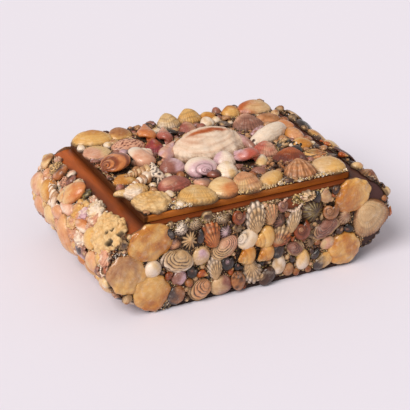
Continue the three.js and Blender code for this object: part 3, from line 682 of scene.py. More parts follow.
def closed_faces(rows, cols):
    """The triangles of a grid that closes round on itself and ends in a point at both ends, and
    the place of each triangle's corners on the unrolled grid, from 0 to 1 both ways."""
    row, col = (part.ravel() for part in np.meshgrid(np.arange(rows - 1), np.arange(cols),
                                                     indexing="ij"))
    cell = np.stack([row, col], 1)
    corners = [np.stack([cell, cell + [0, 1], cell + [1, 1]], 1),
               np.stack([cell, cell + [1, 1], cell + [1, 0]], 1)]
    corners = np.concatenate(corners)
    faces = corners[..., 0] * cols + corners[..., 1] % cols
    around = np.arange(cols)
    first = np.stack([np.full(cols, rows * cols), (around + 1) % cols, around], 1)
    start = (rows - 1) * cols
    last = np.stack([np.full(cols, rows * cols + 1), start + around, start + (around + 1) % cols], 1)
    first_spots = np.stack([np.stack([0 * around - 1, around + 0.5], 1),
                            np.stack([0 * around, around + 1], 1),
                            np.stack([0 * around, around], 1)], 1)
    last_spots = np.stack([np.stack([0 * around + rows, around + 0.5], 1),
                           np.stack([0 * around + rows - 1, around], 1),
                           np.stack([0 * around + rows - 1, around + 1], 1)], 1)
    spots = np.concatenate([corners, first_spots, last_spots]).astype(float)
    spots = (spots + [1, 0]) / [rows + 1, cols]
    return np.concatenate([faces, first, last]), spots[..., ::-1]


GROOVE_BROWN = 0x44220F
AGED = 1.22                    # age has deepened every tint a little


def shell_solid(face, shape, place, colours, style, seed):
    """A shell's grid turned, set on its face and closed. shape is its grid with the angle round,
    the share along and how deep in a groove each point is; place is across, up, its size and
    its turn. Brown sand stays in the grooves."""
    grid, around, along, groove = shape
    across, up, (width, length, height), turn = place
    half = np.array([width / 2, length / 2, height])
    mix = painted(style, grid / half, around, along, seed)[..., None]
    first, second = (np.array(linear(TINTS[name])[:3]) for name in colours)
    tint = (first * (1 - mix) + second * mix) ** AGED
    tint = tint + groove[..., None] * (np.array(linear(GROOVE_BROWN)[:3]) - tint)
    rise = np.clip(grid[..., 2:] / height, 0, 1)
    tint = np.concatenate([tint, rise], axis=-1)
    marks = np.stack([np.sin(around), np.cos(around), along + seed % 97], axis=-1)
    c, s = math.cos(turn), math.sin(turn)
    local = np.stack([across + c * grid[..., 0] - s * grid[..., 1],
                      up + s * grid[..., 0] + c * grid[..., 1], grid[..., 2]], axis=-1)
    rows, cols = around.shape
    faces, spots = closed_faces(rows, cols)

    def with_ends(values):
        ends = [values[0].mean(axis=0, keepdims=True), values[-1].mean(axis=0, keepdims=True)]
        return np.concatenate([values.reshape(rows * cols, -1)] + ends)

    points = FACES[face](with_ends(local))
    turned = outward(points, faces)
    if turned is not faces:
        spots = spots[:, ::-1]
    return dict(points=points, faces=turned, spots=spots, tint=with_ends(tint),
                marks=with_ends(marks))


def joined_piece(name, solids, material, slot, *nodes):
    """One piece from several closed shells, laid end to end. Each has its own square of the
    piece's map, so that its surface unrolls there without touching the next."""
    starts = np.cumsum([0] + [len(solid["points"]) for solid in solids[:-1]])
    across = math.ceil(math.sqrt(len(solids)))
    maps = []
    for number, solid in enumerate(solids):
        corner = np.array([number % across, number // across])
        maps.append((corner + 0.03 + 0.94 * solid["spots"]) / across)
    faces = np.concatenate([solid["faces"] + start for solid, start in zip(solids, starts)])
    mesh = mesh_of(name, np.concatenate([solid["points"] for solid in solids]), faces)
    for key, kind, field in (("tint", "FLOAT_COLOR", "color"), ("marks", "FLOAT_VECTOR", "vector")):
        values = np.concatenate([solid[key] for solid in solids]).astype(np.float32)
        mesh.attributes.new(key, kind, "POINT").data.foreach_set(field, values.ravel())
    layer = mesh.uv_layers.new(name="OFBake")
    layer.data.foreach_set("uv", np.concatenate(maps).astype(np.float32).ravel())
    return shown_piece(name, mesh, material, slot, *nodes)


growth_group, growth_in, growth_out = new_group(
    "growth_marks", {"Marks": VECTOR, "Ring Count": FLOAT, "Ray Count": FLOAT},
    {"Rings": FLOAT, "Rays": FLOAT})
growth_parts = add_node(growth_group, "ShaderNodeSeparateXYZ", {0: growth_in.outputs["Marks"]})
for output in ("Rings", "Rays"):
    round_x, round_y, onward = (growth_parts.outputs[k] for k in range(3))
    if output == "Rings":
        round_x = link_math(growth_group, "MULTIPLY", round_x, 1.2)
        round_y = link_math(growth_group, "MULTIPLY", round_y, 1.2)
        onward = link_math(growth_group, "MULTIPLY", onward, growth_in.outputs["Ring Count"])
    else:
        round_x = link_math(growth_group, "MULTIPLY", round_x, growth_in.outputs["Ray Count"])
        round_y = link_math(growth_group, "MULTIPLY", round_y, growth_in.outputs["Ray Count"])
        onward = link_math(growth_group, "MULTIPLY", onward, 1.5)
    stretched = add_node(growth_group, "ShaderNodeCombineXYZ", {0: round_x, 1: round_y, 2: onward})
    marks_noise = link_noise(growth_group, stretched.outputs[0], 1.0, 2.0, 0.6)
    growth_group.links.new(link_range(growth_group, marks_noise, 0.3, 0.7), growth_out.inputs[output])

dust_group, dust_in, dust_out = new_group(
    "settled_dust", {"Vector": VECTOR, "Rise": FLOAT, "Reach": FLOAT},
    {"Dust": FLOAT, "Flecks": FLOAT, "Blotches": FLOAT, "Pale": FLOAT})
dust_noise = link_noise(dust_group, dust_in.outputs["Vector"], 260.0, 4.0, 0.65)
dust_line = link_math(dust_group, "MULTIPLY_ADD", dust_noise, 0.7, dust_in.outputs["Rise"])
dust_low = link_math(dust_group, "SUBTRACT", dust_line, dust_in.outputs["Reach"])
dust_group.links.new(link_range(dust_group, dust_low, 0.0, 0.4, 1.0, 0.0), dust_out.inputs["Dust"])
fleck_noise = link_noise(dust_group, dust_in.outputs["Vector"], 620.0, 3.0, 0.7)
dust_group.links.new(link_range(dust_group, fleck_noise, 0.6, 0.72), dust_out.inputs["Flecks"])
blotch_noise = link_noise(dust_group, dust_in.outputs["Vector"], 170.0, 5.0, 0.65)
dust_group.links.new(link_range(dust_group, blotch_noise, 0.5, 0.66), dust_out.inputs["Blotches"])
dust_group.links.new(link_range(dust_group, blotch_noise, 0.46, 0.34), dust_out.inputs["Pale"])


def shell_material(name, rings, rays, ring_mark, ray_mark, dust, roughness, coat, dirt=0x44260F):
    """Shell under a light varnish. The piece's own tint is darkened along its growth rings and
    rays, flecked, and dusted with brown sand near its foot; the rings and rays are also
    raised a little."""
    material, tree, shader = bare_material(name)
    tint = add_node(tree, "ShaderNodeAttribute", attribute_name="tint")
    marks = add_node(tree, "ShaderNodeAttribute", attribute_name="marks")
    place = add_node(tree, "ShaderNodeTexCoord").outputs["Object"]
    growth = add_node(tree, "ShaderNodeGroup", node_tree=growth_group)
    tree.links.new(marks.outputs["Vector"], growth.inputs["Marks"])
    growth.inputs["Ring Count"].default_value = rings
    growth.inputs["Ray Count"].default_value = rays
    settled = add_node(tree, "ShaderNodeGroup", node_tree=dust_group)
    tree.links.new(place, settled.inputs["Vector"])
    tree.links.new(tint.outputs["Alpha"], settled.inputs["Rise"])
    settled.inputs["Reach"].default_value = dust
    deep = link_mix(tree, 1.0, tint.outputs["Color"], tint.outputs["Color"], "MULTIPLY")
    ring_amount = link_math(tree, "MULTIPLY", growth.outputs["Rings"], ring_mark)
    ray_amount = link_math(tree, "MULTIPLY", growth.outputs["Rays"], ray_mark)
    colour = link_mix(tree, ring_amount, tint.outputs["Color"], deep)
    colour = link_mix(tree, ray_amount, colour, deep)
    colour = link_mix(tree, link_math(tree, "MULTIPLY", settled.outputs["Blotches"], 0.4), colour, deep)
    colour = link_mix(tree, link_math(tree, "MULTIPLY", settled.outputs["Pale"], 0.14), colour,
                      linear(0xF4E8DA))
    colour = link_mix(tree, link_math(tree, "MULTIPLY", settled.outputs["Flecks"], 0.3), colour,
                      linear(dirt))
    colour = link_mix(tree, link_math(tree, "MULTIPLY", settled.outputs["Dust"], 0.8), colour,
                      linear(dirt))
    tree.links.new(colour, shader.inputs["Base Color"])
    tree.links.new(link_range(tree, settled.outputs["Dust"], 0.0, 1.0, roughness, 0.8),
                   shader.inputs["Roughness"])
    shader.inputs["Coat Weight"].default_value = coat
    shader.inputs["Coat Roughness"].default_value = 0.2
    height = link_math(tree, "ADD", growth.outputs["Rings"], growth.outputs["Rays"])
    height = link_math(tree, "MULTIPLY_ADD", settled.outputs["Dust"], 1.5, height)
    bump = add_node(tree, "ShaderNodeBump", {"Height": height, "Strength": 0.35,
                                             "Distance": 0.0004})
    tree.links.new(bump.outputs["Normal"], shader.inputs["Normal"])
    return material


FINISHES = {
    "smooth": shell_material("smooth_shell", 22, 5, 0.3, 0.12, 0.4, 0.34, 0.3),
    "ribbed": shell_material("ribbed_shell", 16, 14, 0.25, 0.3, 0.42, 0.42, 0.15),
    "golden": shell_material("golden_jingle_shell", 7, 5, 0.35, 0.35, 0.3, 0.24, 0.6),
    "chalky": shell_material("chalky_shell", 14, 6, 0.45, 0.3, 0.36, 0.6, 0.05, 0x6A4A30),
    "glossy": shell_material("glossy_dark_shell", 20, 5, 0.4, 0.2, 0.3, 0.18, 0.6),
}
FINISH_OF = {
    "clam": "smooth", "venus": "ribbed", "cockle": "ribbed", "fan": "ribbed", "scallop": "ribbed",
    "jingle": "golden", "oyster": "chalky", "great": "chalky", "pitted": "chalky",
    "crust": "chalky", "mussel": "glossy",
}
GROUP_SLOTS = {"smooth": "pale_shell", "ribbed": "pale_shell", "golden": "golden_shell",
               "chalky": "pale_shell", "glossy": "dark_shell", "spiral": "orange_shell"}
SNUG = {"lid": 1.2, "front": 1.16, "left": 1.18, "back": 1.14, "right": 1.14}   # shells touch
covered = {face: [] for face in FACES}   # across, up, half width, half length and turn of each
for face, middle, level, half, tall, _ in BARE_PATCHES:
    covered[face].append((middle * MM, level * MM, half * MM, tall * MM, 0.0))


def set_shells(group, table, grow, finish_of, detail=1):
    """Grows each row's shell and sets it on its face. A row gives its kind, its places across and
    up, its width, length and height in millimetres, its turn in degrees, two tints, how they
    are painted, and the CAD node that it stands for if it is a piece of its own. detail is 2
    for such a piece, 1 for a shell among others and 0 for a tiny one."""
    for face, rows in table.items():
        together = {}
        for number, row in enumerate(rows):
            kind, across, up, width, length, height, turn, first, second, style = row[:10]
            seed = 1000 * len(group) + 37 * number + int(abs(across) * 3 + abs(up))
            snug = SNUG[face] if detail else 1.0
            size = (width * snug * MM, length * snug * MM, height * MM)
            shape = grow(kind, size, seed, 2 if len(row) > 10 else detail)
            place = (across * MM, up * MM, size, math.radians(turn))
            solid = shell_solid(face, shape, place, (first, second), style, seed)
            covered[face].append((across * MM, up * MM, size[0] / 2, size[1] / 2,
                                  math.radians(turn)))
            finish = finish_of[kind]
            if len(row) > 10:
                node = row[10]
                joined_piece(node + "_shell", [solid], FINISHES[finish], slots[node], node)
            else:
                together.setdefault(finish, []).append(solid)
        for finish, solids in together.items():
            joined_piece(f"{face}_{finish}_{group}", solids, FINISHES[finish], GROUP_SLOTS[finish])


HALF_SHELLS = {
    "lid": [
        ("oyster", -93, -70, 31, 31, 8, 10, "cream", "straw", "crown", "lid_rough_valve"),
        ("fan", -50, -76, 33, 29, 9, -15, "straw", "cream", "plain", "lid_yellow_fan"),
        ("clam", -22, -74, 26, 27, 11, -20, "cream", "apricot", "right", "lid_butter_clam"),
        ("cockle", 3, -75, 25, 28, 11, -8, "peach", "cream", "margin", "lid_apricot_cockle"),
        ("clam", 30, -75, 17, 26, 8, -60, "straw", "bone", "left"),
        ("cockle", 62, -74, 27, 25, 13, -12, "peach", "tan", "rays", "lid_peach_cockle"),
        ("clam", 93, -74, 30, 26, 9, -20, "straw", "bone", "left", "lid_corner_clam"),
        ("venus", 95, -45, 20, 15, 6, -20, "butter", "apricot", "right"),
        ("clam", 95, -18, 19, 17, 7, -10, "straw", "gold", "front"),
        ("oyster", -98, -44, 24, 18, 8, 30, "butter", "white", "left", "lid_broken_valve"),
        ("cockle", -60, -46, 23, 32, 10, 110, "rose", "pinkish", "crown", "lid_rose_cockle"),
        ("clam", -98, -16, 22, 16, 6, 20, "gold", "butter", "right"),
        ("clam", -98, 54, 25, 25, 5, 30, "pinkish", "cream", "right", "lid_flat_clam"),
        ("clam", -91, 84, 36, 24, 10, -10, "straw", "gold", "crown", "lid_golden_clam"),
        ("clam", -61, 83, 22, 20, 8, 10, "tan", "straw", "margin"),
        ("clam", -64, 54, 30, 18, 8, -10, "pinkish", "wine", "speckles", "lid_speckled_venus"),
        ("cockle", -43, 37, 16, 24, 10, -10, "crimson", "orange", "back", "lid_crimson_scallop"),
        ("great", 5, 12, 70, 42, 21, 6, "white", "orange", "streak", "lid_great_oyster"),
        ("clam", 44, 10, 9, 30, 9, 15, "lilac", "dusky", "front"),
        ("clam", 73, 12, 19, 47, 14, -66, "white", "brown", "hole", "lid_long_white_clam"),
        ("cockle", 54, -17, 22, 23, 10, -30, "salmon", "pinkish", "right", "lid_salmon_scallop"),
        ("cockle", 67, -45, 29, 30, 11, -30, "wine", "orange", "back", "lid_wine_scallop"),
        ("clam", -47, -14, 24, 19, 12, 10, "lilac", "mauve", "left", "lid_dusky_clam"),
        ("clam", 5, -23, 20, 18, 13, -20, "white", "lilac", "left", "lid_lilac_clam"),
        ("clam", -4, -46, 20, 20, 13, -15, "white", "cream", "plain", "lid_white_clam"),
        ("clam", 99, 5, 16, 22, 8, 0, "gold", "peach", "front", "lid_tan_clam"),
        ("clam", 100, 29, 19, 18, 7, 0, "peach", "apricot", "right"),
        ("clam", 93, 52, 25, 16, 7, -10, "tan", "peach", "plain"),
        ("cockle", 68, 49, 28, 26, 11, 0, "dusky", "pinkish", "back", "lid_dusky_cockle"),
        ("mussel", 71, 28, 11, 21, 7, -55, "dusky", "lilac", "spots"),
        ("clam", 32, 70, 13, 14, 8, 0, "white", "bone", "plain"),
        ("cockle", -6, 84, 21, 19, 13, 0, "cream", "white", "margin", "lid_cream_cockle"),
        ("cockle", 19, 86, 22, 18, 13, 0, "butter", "straw", "front", "lid_butter_cockle"),
        ("clam", 40, 86, 16, 12, 6, 0, "gold", "straw", "back"),
        ("clam", 66, 83, 18, 17, 9, 0, "gold", "straw", "front"),
        ("clam", 92, 81, 32, 21, 11, -15, "bone", "orange", "left", "lid_back_corner_clam"),
        ("cockle", 7, 64, 16, 17, 9, 0, "pinkish", "rose", "left"),
        ("clam", 40, -36, 11, 18, 7, -30, "white", "cream", "front"),
        ("mussel", 83, -29, 12, 12, 7, 60, "black", "slate", "crown"),
        ("clam", 28, -54, 12, 14, 5, 70, "mauve", "dusky", "left"),
        ("mussel", -109, -41, 8, 18, 5, 75, "cream", "butter", "plain"),
        ("clam", -72, -62, 9, 9, 5, 0, "white", "cream", "plain"),
    ],
    "front": [
        ("jingle", -108, 75, 41, 33, 6, 10, "gold", "straw", "mottled", "front_left_top_jingle"),
        ("jingle", -133, 47, 32, 38, 6, 30, "straw", "sand", "back", "front_left_jingle"),
        ("jingle", -108, 22, 36, 32, 6, -60, "straw", "gold", "right", "front_left_foot_jingle"),
        ("jingle", 108, 76, 35, 32, 6, 10, "gold", "straw", "right", "front_right_top_jingle"),
        ("fan", 129, 48, 36, 37, 7, 30, "bone", "tan", "margin", "front_right_fan"),
        ("jingle", 100, 20, 32, 31, 7, 0, "gold", "straw", "mottled", "front_right_foot_jingle"),
        ("clam", -107, 47, 16, 17, 7, 0, "white", "cream", "plain"),
        ("venus", -82, 50, 31, 21, 9, -24, "bone", "white", "margin", "front_banded_venus"),
        ("mussel", -89, 80, 8, 14, 5, 20, "black", "brown", "plain"),
        ("mussel", -57, 70, 8, 16, 5, 0, "black", "brown", "plain"),
        ("jingle", -57, 49, 17, 17, 6, 0, "bone", "lilac", "crown"),
        ("jingle", -80, 31, 14, 14, 5, 0, "lilac", "dusky", "left"),
        ("jingle", -83, 13, 17, 18, 5, 0, "tan", "slate", "left"),
        ("venus", -58, 13, 20, 21, 7, -50, "peach", "bone", "margin"),
        ("scallop", -46, 69, 16, 25, 8, 190, "apricot", "orange", "rays"),
        ("venus", -32, 52, 28, 19, 8, 35, "bone", "pinkish", "right", "front_ribbed_venus"),
        ("scallop", 0, 76, 18, 30, 8, 180, "bone", "white", "margin", "front_tall_scallop"),
        ("scallop", 28, 50, 20, 22, 7, 120, "bone", "orange", "left"),
        ("scallop", -2, 19, 17, 25, 7, 20, "bone", "white", "margin"),
        ("scallop", -42, 33, 14, 23, 6, 185, "bone", "white", "margin"),
        ("clam", -35, 12, 21, 19, 6, 0, "bone", "mauve", "right"),
        ("clam", 27, 19, 14, 20, 6, 0, "white", "bone", "plain"),
        ("clam", 38, 11, 11, 13, 5, 0, "tan", "bone", "plain"),
        ("scallop", 42, 64, 12, 24, 7, 160, "bone", "white", "margin"),
        ("mussel", 68, 83, 8, 14, 5, 0, "black", "brown", "plain"),
        ("venus", 78, 47, 30, 17, 7, 20, "dusky", "bone", "margin"),
        ("cockle", 99, 54, 14, 15, 6, 0, "dusky", "bone", "rays"),
        ("clam", 82, 30, 16, 13, 5, 0, "pinkish", "bone", "plain"),
        ("venus", 45, 33, 14, 19, 6, 60, "dusky", "bone", "margin"),
        ("clam", 54, 18, 14, 20, 6, 0, "straw", "white", "front"),
        ("jingle", 77, 11, 21, 14, 5, 30, "butter", "slate", "left"),
        ("scallop", 17, 77, 13, 20, 7, 175, "peach", "bone", "rays"),
        ("cockle", 61, 36, 9, 12, 5, 30, "bone", "brown", "rays"),
        ("mussel", 68, 21, 8, 12, 5, -30, "black", "slate", "plain"),
    ],
    "left": [
        ("pitted", 30, -76, 31, 42, 8, 0, "cream", "black", "pits", "left_barnacled_oyster"),
        ("clam", 44, -56, 19, 18, 8, 60, "butter", "straw", "left"),
        ("crust", 37, -13, 14, 12, 6, 0, "straw", "pinkish", "plain"),
        ("clam", 45, 58, 22, 20, 8, 60, "butter", "gold", "left"),
        ("clam", 48, 83, 20, 22, 7, 0, "pinkish", "cream", "plain"),
        ("clam", 41, 7, 11, 23, 7, 0, "pinkish", "white", "plain"),
        ("crust", 49, -14, 12, 13, 7, 0, "cream", "pinkish", "plain"),
        ("clam", 52, 24, 12, 18, 7, 0, "pinkish", "peach", "plain"),
        ("clam", 72, 4, 25, 42, 9, 80, "peach", "butter", "plain", "left_long_peach_clam"),
        ("clam", 42, -32, 10, 20, 7, 0, "white", "apricot", "left"),
        ("crust", 53, -36, 12, 16, 7, 0, "white", "pinkish", "plain"),
        ("mussel", 64, -37, 12, 18, 6, 20, "slate", "lilac", "plain"),
        ("clam", 62, -66, 18, 20, 7, 0, "peach", "cream", "plain"),
        ("clam", 74, -56, 14, 20, 6, 0, "straw", "gold", "left"),
        ("clam", 78, -30, 12, 14, 6, 0, "gold", "apricot", "plain"),
        ("clam", 79, -84, 16, 16, 6, 0, "cream", "peach", "plain"),
        ("clam", 66, 45, 20, 20, 7, 40, "pinkish", "cream", "left"),
        ("clam", 66, 72, 18, 20, 7, 0, "peach", "pinkish", "plain"),
        ("mussel", 94, -84, 9, 18, 5, 0, "black", "brown", "plain"),
        ("mussel", 94, -60, 9, 16, 5, 0, "black", "brown", "plain"),
        ("crust", 24, -38, 14, 22, 8, 20, "white", "cream", "plain"),
        ("crust", 33, -26, 12, 12, 6, 0, "lilac", "white", "plain"),
        ("crust", 30, -45, 12, 14, 6, 0, "pinkish", "white", "plain"),
        ("crust", 55, -18, 12, 16, 6, 0, "pinkish", "peach", "plain"),
        ("crust", 47, -92, 14, 12, 6, 0, "pinkish", "white", "plain"),
        ("crust", 24, 66, 12, 12, 7, 0, "cream", "brown", "spots"),
        ("crust", 27, 36, 10, 12, 6, 0, "pinkish", "brown", "spots"),
    ],
    "back": [
        ("jingle", -110, 74, 38, 32, 5, 0, "gold", "apricot", "mottled", "back_left_jingle"),
        ("fan", -128, 46, 34, 36, 6, -30, "peach", "bone", "rays", "back_left_fan"),
        ("jingle", -106, 21, 34, 30, 5, 0, "straw", "gold", "mottled"),
        ("jingle", 110, 74, 38, 32, 5, 0, "gold", "tan", "mottled", "back_right_jingle"),
        ("jingle", 128, 46, 34, 36, 5, 0, "straw", "gold", "mottled", "back_right_side_jingle"),
        ("jingle", 106, 21, 34, 30, 5, 0, "gold", "straw", "mottled"),
    ],
    "right": [],
}

# The back and the right end are covered in plain rows of shells set one beside the next. Kinds
# and tints take turns, and a small counter gives each shell its own size and turn.
MIXED = [
    ("clam", "cream", "butter"), ("cockle", "bone", "tan"), ("snail", "brown", "bone"),
    ("clam", "peach", "cream"), ("limpet", "slate", "bone"), ("venus", "bone", "brown"),
    ("clam", "straw", "gold"), ("whelk", "orange", "tan"), ("cockle", "dusky", "bone"),
    ("snail", "maroon", "dusky"), ("clam", "white", "cream"), ("mussel", "black", "slate"),
    ("limpet", "amber", "straw"), ("snail", "cream", "tan"),
]
MIXED_PITCH = 25


def mixed_rows(spans, start, upright):
    """Rows of (kind, across, up, width, length, height, turn, tints, paint) along each span."""
    made, count = [], start
    for level, first, last in spans:
        across = round((last - first) / MIXED_PITCH)
        for step in range(across):
            kind, tint, second = MIXED[(count * 5 + count // 3) % len(MIXED)]
            place = first + (step + 0.5) * (last - first) / across
            shift = level + (count * 13) % 5 - 2
            where = (place, shift) if upright else (shift, place)
            size = (MIXED_PITCH - 3 + (count * 7) % 4, MIXED_PITCH - 3 + (count * 11) % 5,
                    5 + count % 3)
            made.append((kind, *where, *size, (count * 47) % 120 - 60, tint, second, "plain"))
            count += 1
    return made


mixed = {
    "back": mixed_rows([(75, -88, 88), (47, -106, 106), (19, -86, 86)], 1, True),
    "right": mixed_rows([(31, -93, 93), (55, -93, 93), (80, -93, 93)], 5, False),
}
for face, rows in mixed.items():
    HALF_SHELLS[face] += [row for row in rows if row[0] in FINISH_OF]
set_shells("half_shells", HALF_SHELLS, valve, FINISH_OF)

# ---- Limpets, barnacles and stars ---------------------------------------------------------
# Low cones. A limpet is one ribbed cap; a barnacle is a ring of ridged plates round a dark
# mouth; the stars are broken, spiny bits of coral. All sit flat in the glue.
CONES = {
    "limpet": dict(steep=1.25, ribs=17, rib=0.06, mouth=0.0, spiky=0.0),
    "barnacle": dict(steep=0.8, ribs=9, rib=0.1, mouth=0.36, spiky=0.0),
    "star": dict(steep=1.0, ribs=12, rib=0.14, mouth=0.0, spiky=0.3),
}


def cone(kind, size, seed, detail):
    """A cap: its height falls with a power of the distance from the tip. Ribs are a cosine of the
    angle, deeper towards the foot. A mouth turns the tip in: inside its radius the height
    falls to a third. Spikes pull the foot in between its points."""
    look = CONES[kind]
    width, length, height = size
    cols, rows = ((14, 5), (44, 12), (64, 22))[detail]
    around = np.linspace(0, 2 * math.pi, cols, endpoint=False)[None, :]
    reach = np.linspace(0.03, 1.0, rows)[:, None]
    wave = np.cos(look["ribs"] * around + 0.8 * np.sin(2 * around + seed))
    foot = 1 + look["rib"] * wave * reach - look["spiky"] * (0.5 - 0.5 * wave) * reach
    foot = foot + 0.05 * np.sin(3 * around + seed)
    tip = np.array([0.04 * math.sin(seed), 0.12]) * np.array([width, length])
    rise = 1 - reach ** look["steep"]
    if look["mouth"]:
        wall = clamped((reach - look["mouth"]) / (1 - look["mouth"]))
        inside = clamped((look["mouth"] + 0.06 - reach) / 0.14)
        rise = (1 - wall ** 0.8) * (1 + 0.12 * wave) * (1 - 0.75 * inside)
    lift = height * (rise * np.ones_like(around) + 0.03 * wave * np.sin(math.pi * reach))
    x = 0.5 * width * reach * foot * np.cos(around) + tip[0] * (1 - reach)
    y = 0.5 * length * reach * foot * np.sin(around) + tip[1] * (1 - reach)
    points = np.stack([x, y, lift], axis=-1)
    skirt = points[-1:] * np.array([MARGIN_SHARE, MARGIN_SHARE, 0]) - np.array([0, 0, MARGIN_DEPTH])
    along = np.concatenate([reach, [[1.0]]]) * np.ones_like(around)
    groove = clamped(-1.3 * wave) * clamped(2 * reach - 0.3)
    if look["mouth"]:
        groove = np.maximum(groove * 0.6, clamped(1.5 * (1 - reach / look["mouth"])))
    groove = 0.75 * np.concatenate([groove, groove[-1:]])
    return np.concatenate([points, skirt]), np.broadcast_to(around, along.shape), along, groove


CONE_SHELLS = {
    "front": [
        ("limpet", -77, 82, 14, 14, 7, 0, "white", "slate", "spots"),
        ("limpet", -62, 83, 15, 12, 6, 0, "slate", "bone", "bands"),
        ("limpet", -84, 67, 13, 12, 6, 0, "dusky", "peach", "crown"),
        ("star", -68, 68, 17, 20, 6, 0, "bone", "slate", "margin"),
        ("limpet", -34, 83, 17, 12, 7, 0, "slate", "bone", "bands"),
        ("limpet", -31, 68, 13, 14, 6, 0, "slate", "lilac", "rays"),
        ("limpet", 27, 66, 12, 17, 6, 0, "dusky", "brown", "rays"),
        ("limpet", 63, 69, 22, 22, 9, 0, "slate", "olive", "rays", "front_dark_limpet"),
        ("barnacle", 58, 86, 17, 11, 6, 0, "bone", "white", "plain"),
        ("limpet", 62, 43, 10, 11, 5, 0, "brown", "bone", "rays"),
    ],
    "left": [
        ("barnacle", 38, -45, 9, 9, 5, 0, "pinkish", "white", "plain"),
        ("barnacle", 22, -55, 9, 10, 5, 0, "white", "cream", "plain"),
    ],
}
CONE_FINISH = {"limpet": "smooth", "barnacle": "chalky", "star": "chalky"}
for face, rows in mixed.items():
    CONE_SHELLS.setdefault(face, []).extend(row for row in rows if row[0] in CONES)
set_shells("cones", CONE_SHELLS, cone, CONE_FINISH)

# ---- Snails, whelks and turrets -----------------------------------------------------------
# Whole spiral shells, glued on their sides or with the spire out. The tube grows as it winds
# down from the tip, and ends in a thin lip round a dark mouth.
SPIRALS = {
    "snail": dict(turns=3.6, growth=1.95, spread=0.52, drop=1.0, tube=(0.56, 0.58), tilt=64,
                  mouth=85, bands=0, band=0.0, folds=0, fold=0.0),
    "whelk": dict(turns=4.6, growth=1.55, spread=0.45, drop=1.5, tube=(0.48, 0.56), tilt=68,
                  mouth=85, bands=6, band=0.035, folds=0, fold=0.0),
    "turret": dict(turns=10.5, growth=1.2, spread=0.36, drop=3.2, tube=(0.38, 0.34), tilt=87,
                   mouth=90, bands=0, band=0.0, folds=9, fold=0.07),
    "pearl": dict(turns=2.8, growth=2.1, spread=0.5, drop=0.6, tube=(0.55, 0.55), tilt=25,
                  mouth=20, bands=0, band=0.0, folds=0, fold=0.0),
}
SUTURE = math.radians(100)     # where a whorl meets the one above it
SUNK_SHARE = 0.22              # how much of a shell's height is below the sand


def spiral(kind, size, seed, detail):
    """A tube wound on a cone. At each angle along it, everything is scaled by the growth to the
    power of the turns still to come; the tube's middle is out from the axis and down from the
    tip, and its section is an ellipse. At the mouth the tube turns back inside itself. The
    shell is then tilted and fitted to its width, length and height."""
    look = SPIRALS[kind]
    width, length, height = size
    cols = (6, 12, 24)[detail]
    per_turn = (8, 13, 24)[detail]
    rows = int(look["turns"] * per_turn)
    section = np.linspace(0, 2 * math.pi, cols, endpoint=False)[None, :]
    end = math.radians(look["mouth"]) + 0.3 * math.sin(seed)
    back = np.linspace(look["turns"] * 2 * math.pi, 0, rows)
    inside = np.array([0.0, 0.25, 0.6, 0.9])
    back = np.concatenate([back, inside])[:, None]
    narrow = np.concatenate([np.ones(rows), [0.84, 0.78, 0.72, 0.6]])[:, None]
    scale = look["growth"] ** (-back / (2 * math.pi))
    wind = end - back
    tube_out, tube_up = look["tube"]
    raised = (1 + look["band"] * np.cos(look["bands"] * section)
              + look["fold"] * np.cos(look["folds"] * wind) * (0.6 + 0.4 * np.cos(3 * section)))
    raised = raised + 0.02 * np.sin(17 * wind + seed)
    out = (look["spread"] + narrow * raised * tube_out * np.cos(section)) * scale
    down = (-look["drop"] + narrow * raised * tube_up * np.sin(section)) * scale
    points = np.stack([out * np.cos(wind), out * np.sin(wind), down], axis=-1)
    tilt = math.radians(look["tilt"])
    y, z = points[..., 1].copy(), points[..., 2].copy()
    points[..., 1] = y * math.cos(tilt) + z * math.sin(tilt)
    points[..., 2] = z * math.cos(tilt) - y * math.sin(tilt)
    low, high = points.reshape(-1, 3).min(axis=0), points.reshape(-1, 3).max(axis=0)
    points = (points - low) / (high - low)
    sunk = SUNK_SHARE * height
    points = points * np.array([width, length, height + sunk]) - np.array(
        [width / 2, length / 2, sunk])
    along = np.concatenate([np.linspace(0, 1, rows), [1.0, 1.02, 1.05, 1.1]])[:, None]
    groove = np.exp(-((section - SUTURE) / 0.35) ** 2) + clamped(40 * (along - 1.01))
    return points, section + 0 * along, along + 0 * section, 0.75 * clamped(groove)


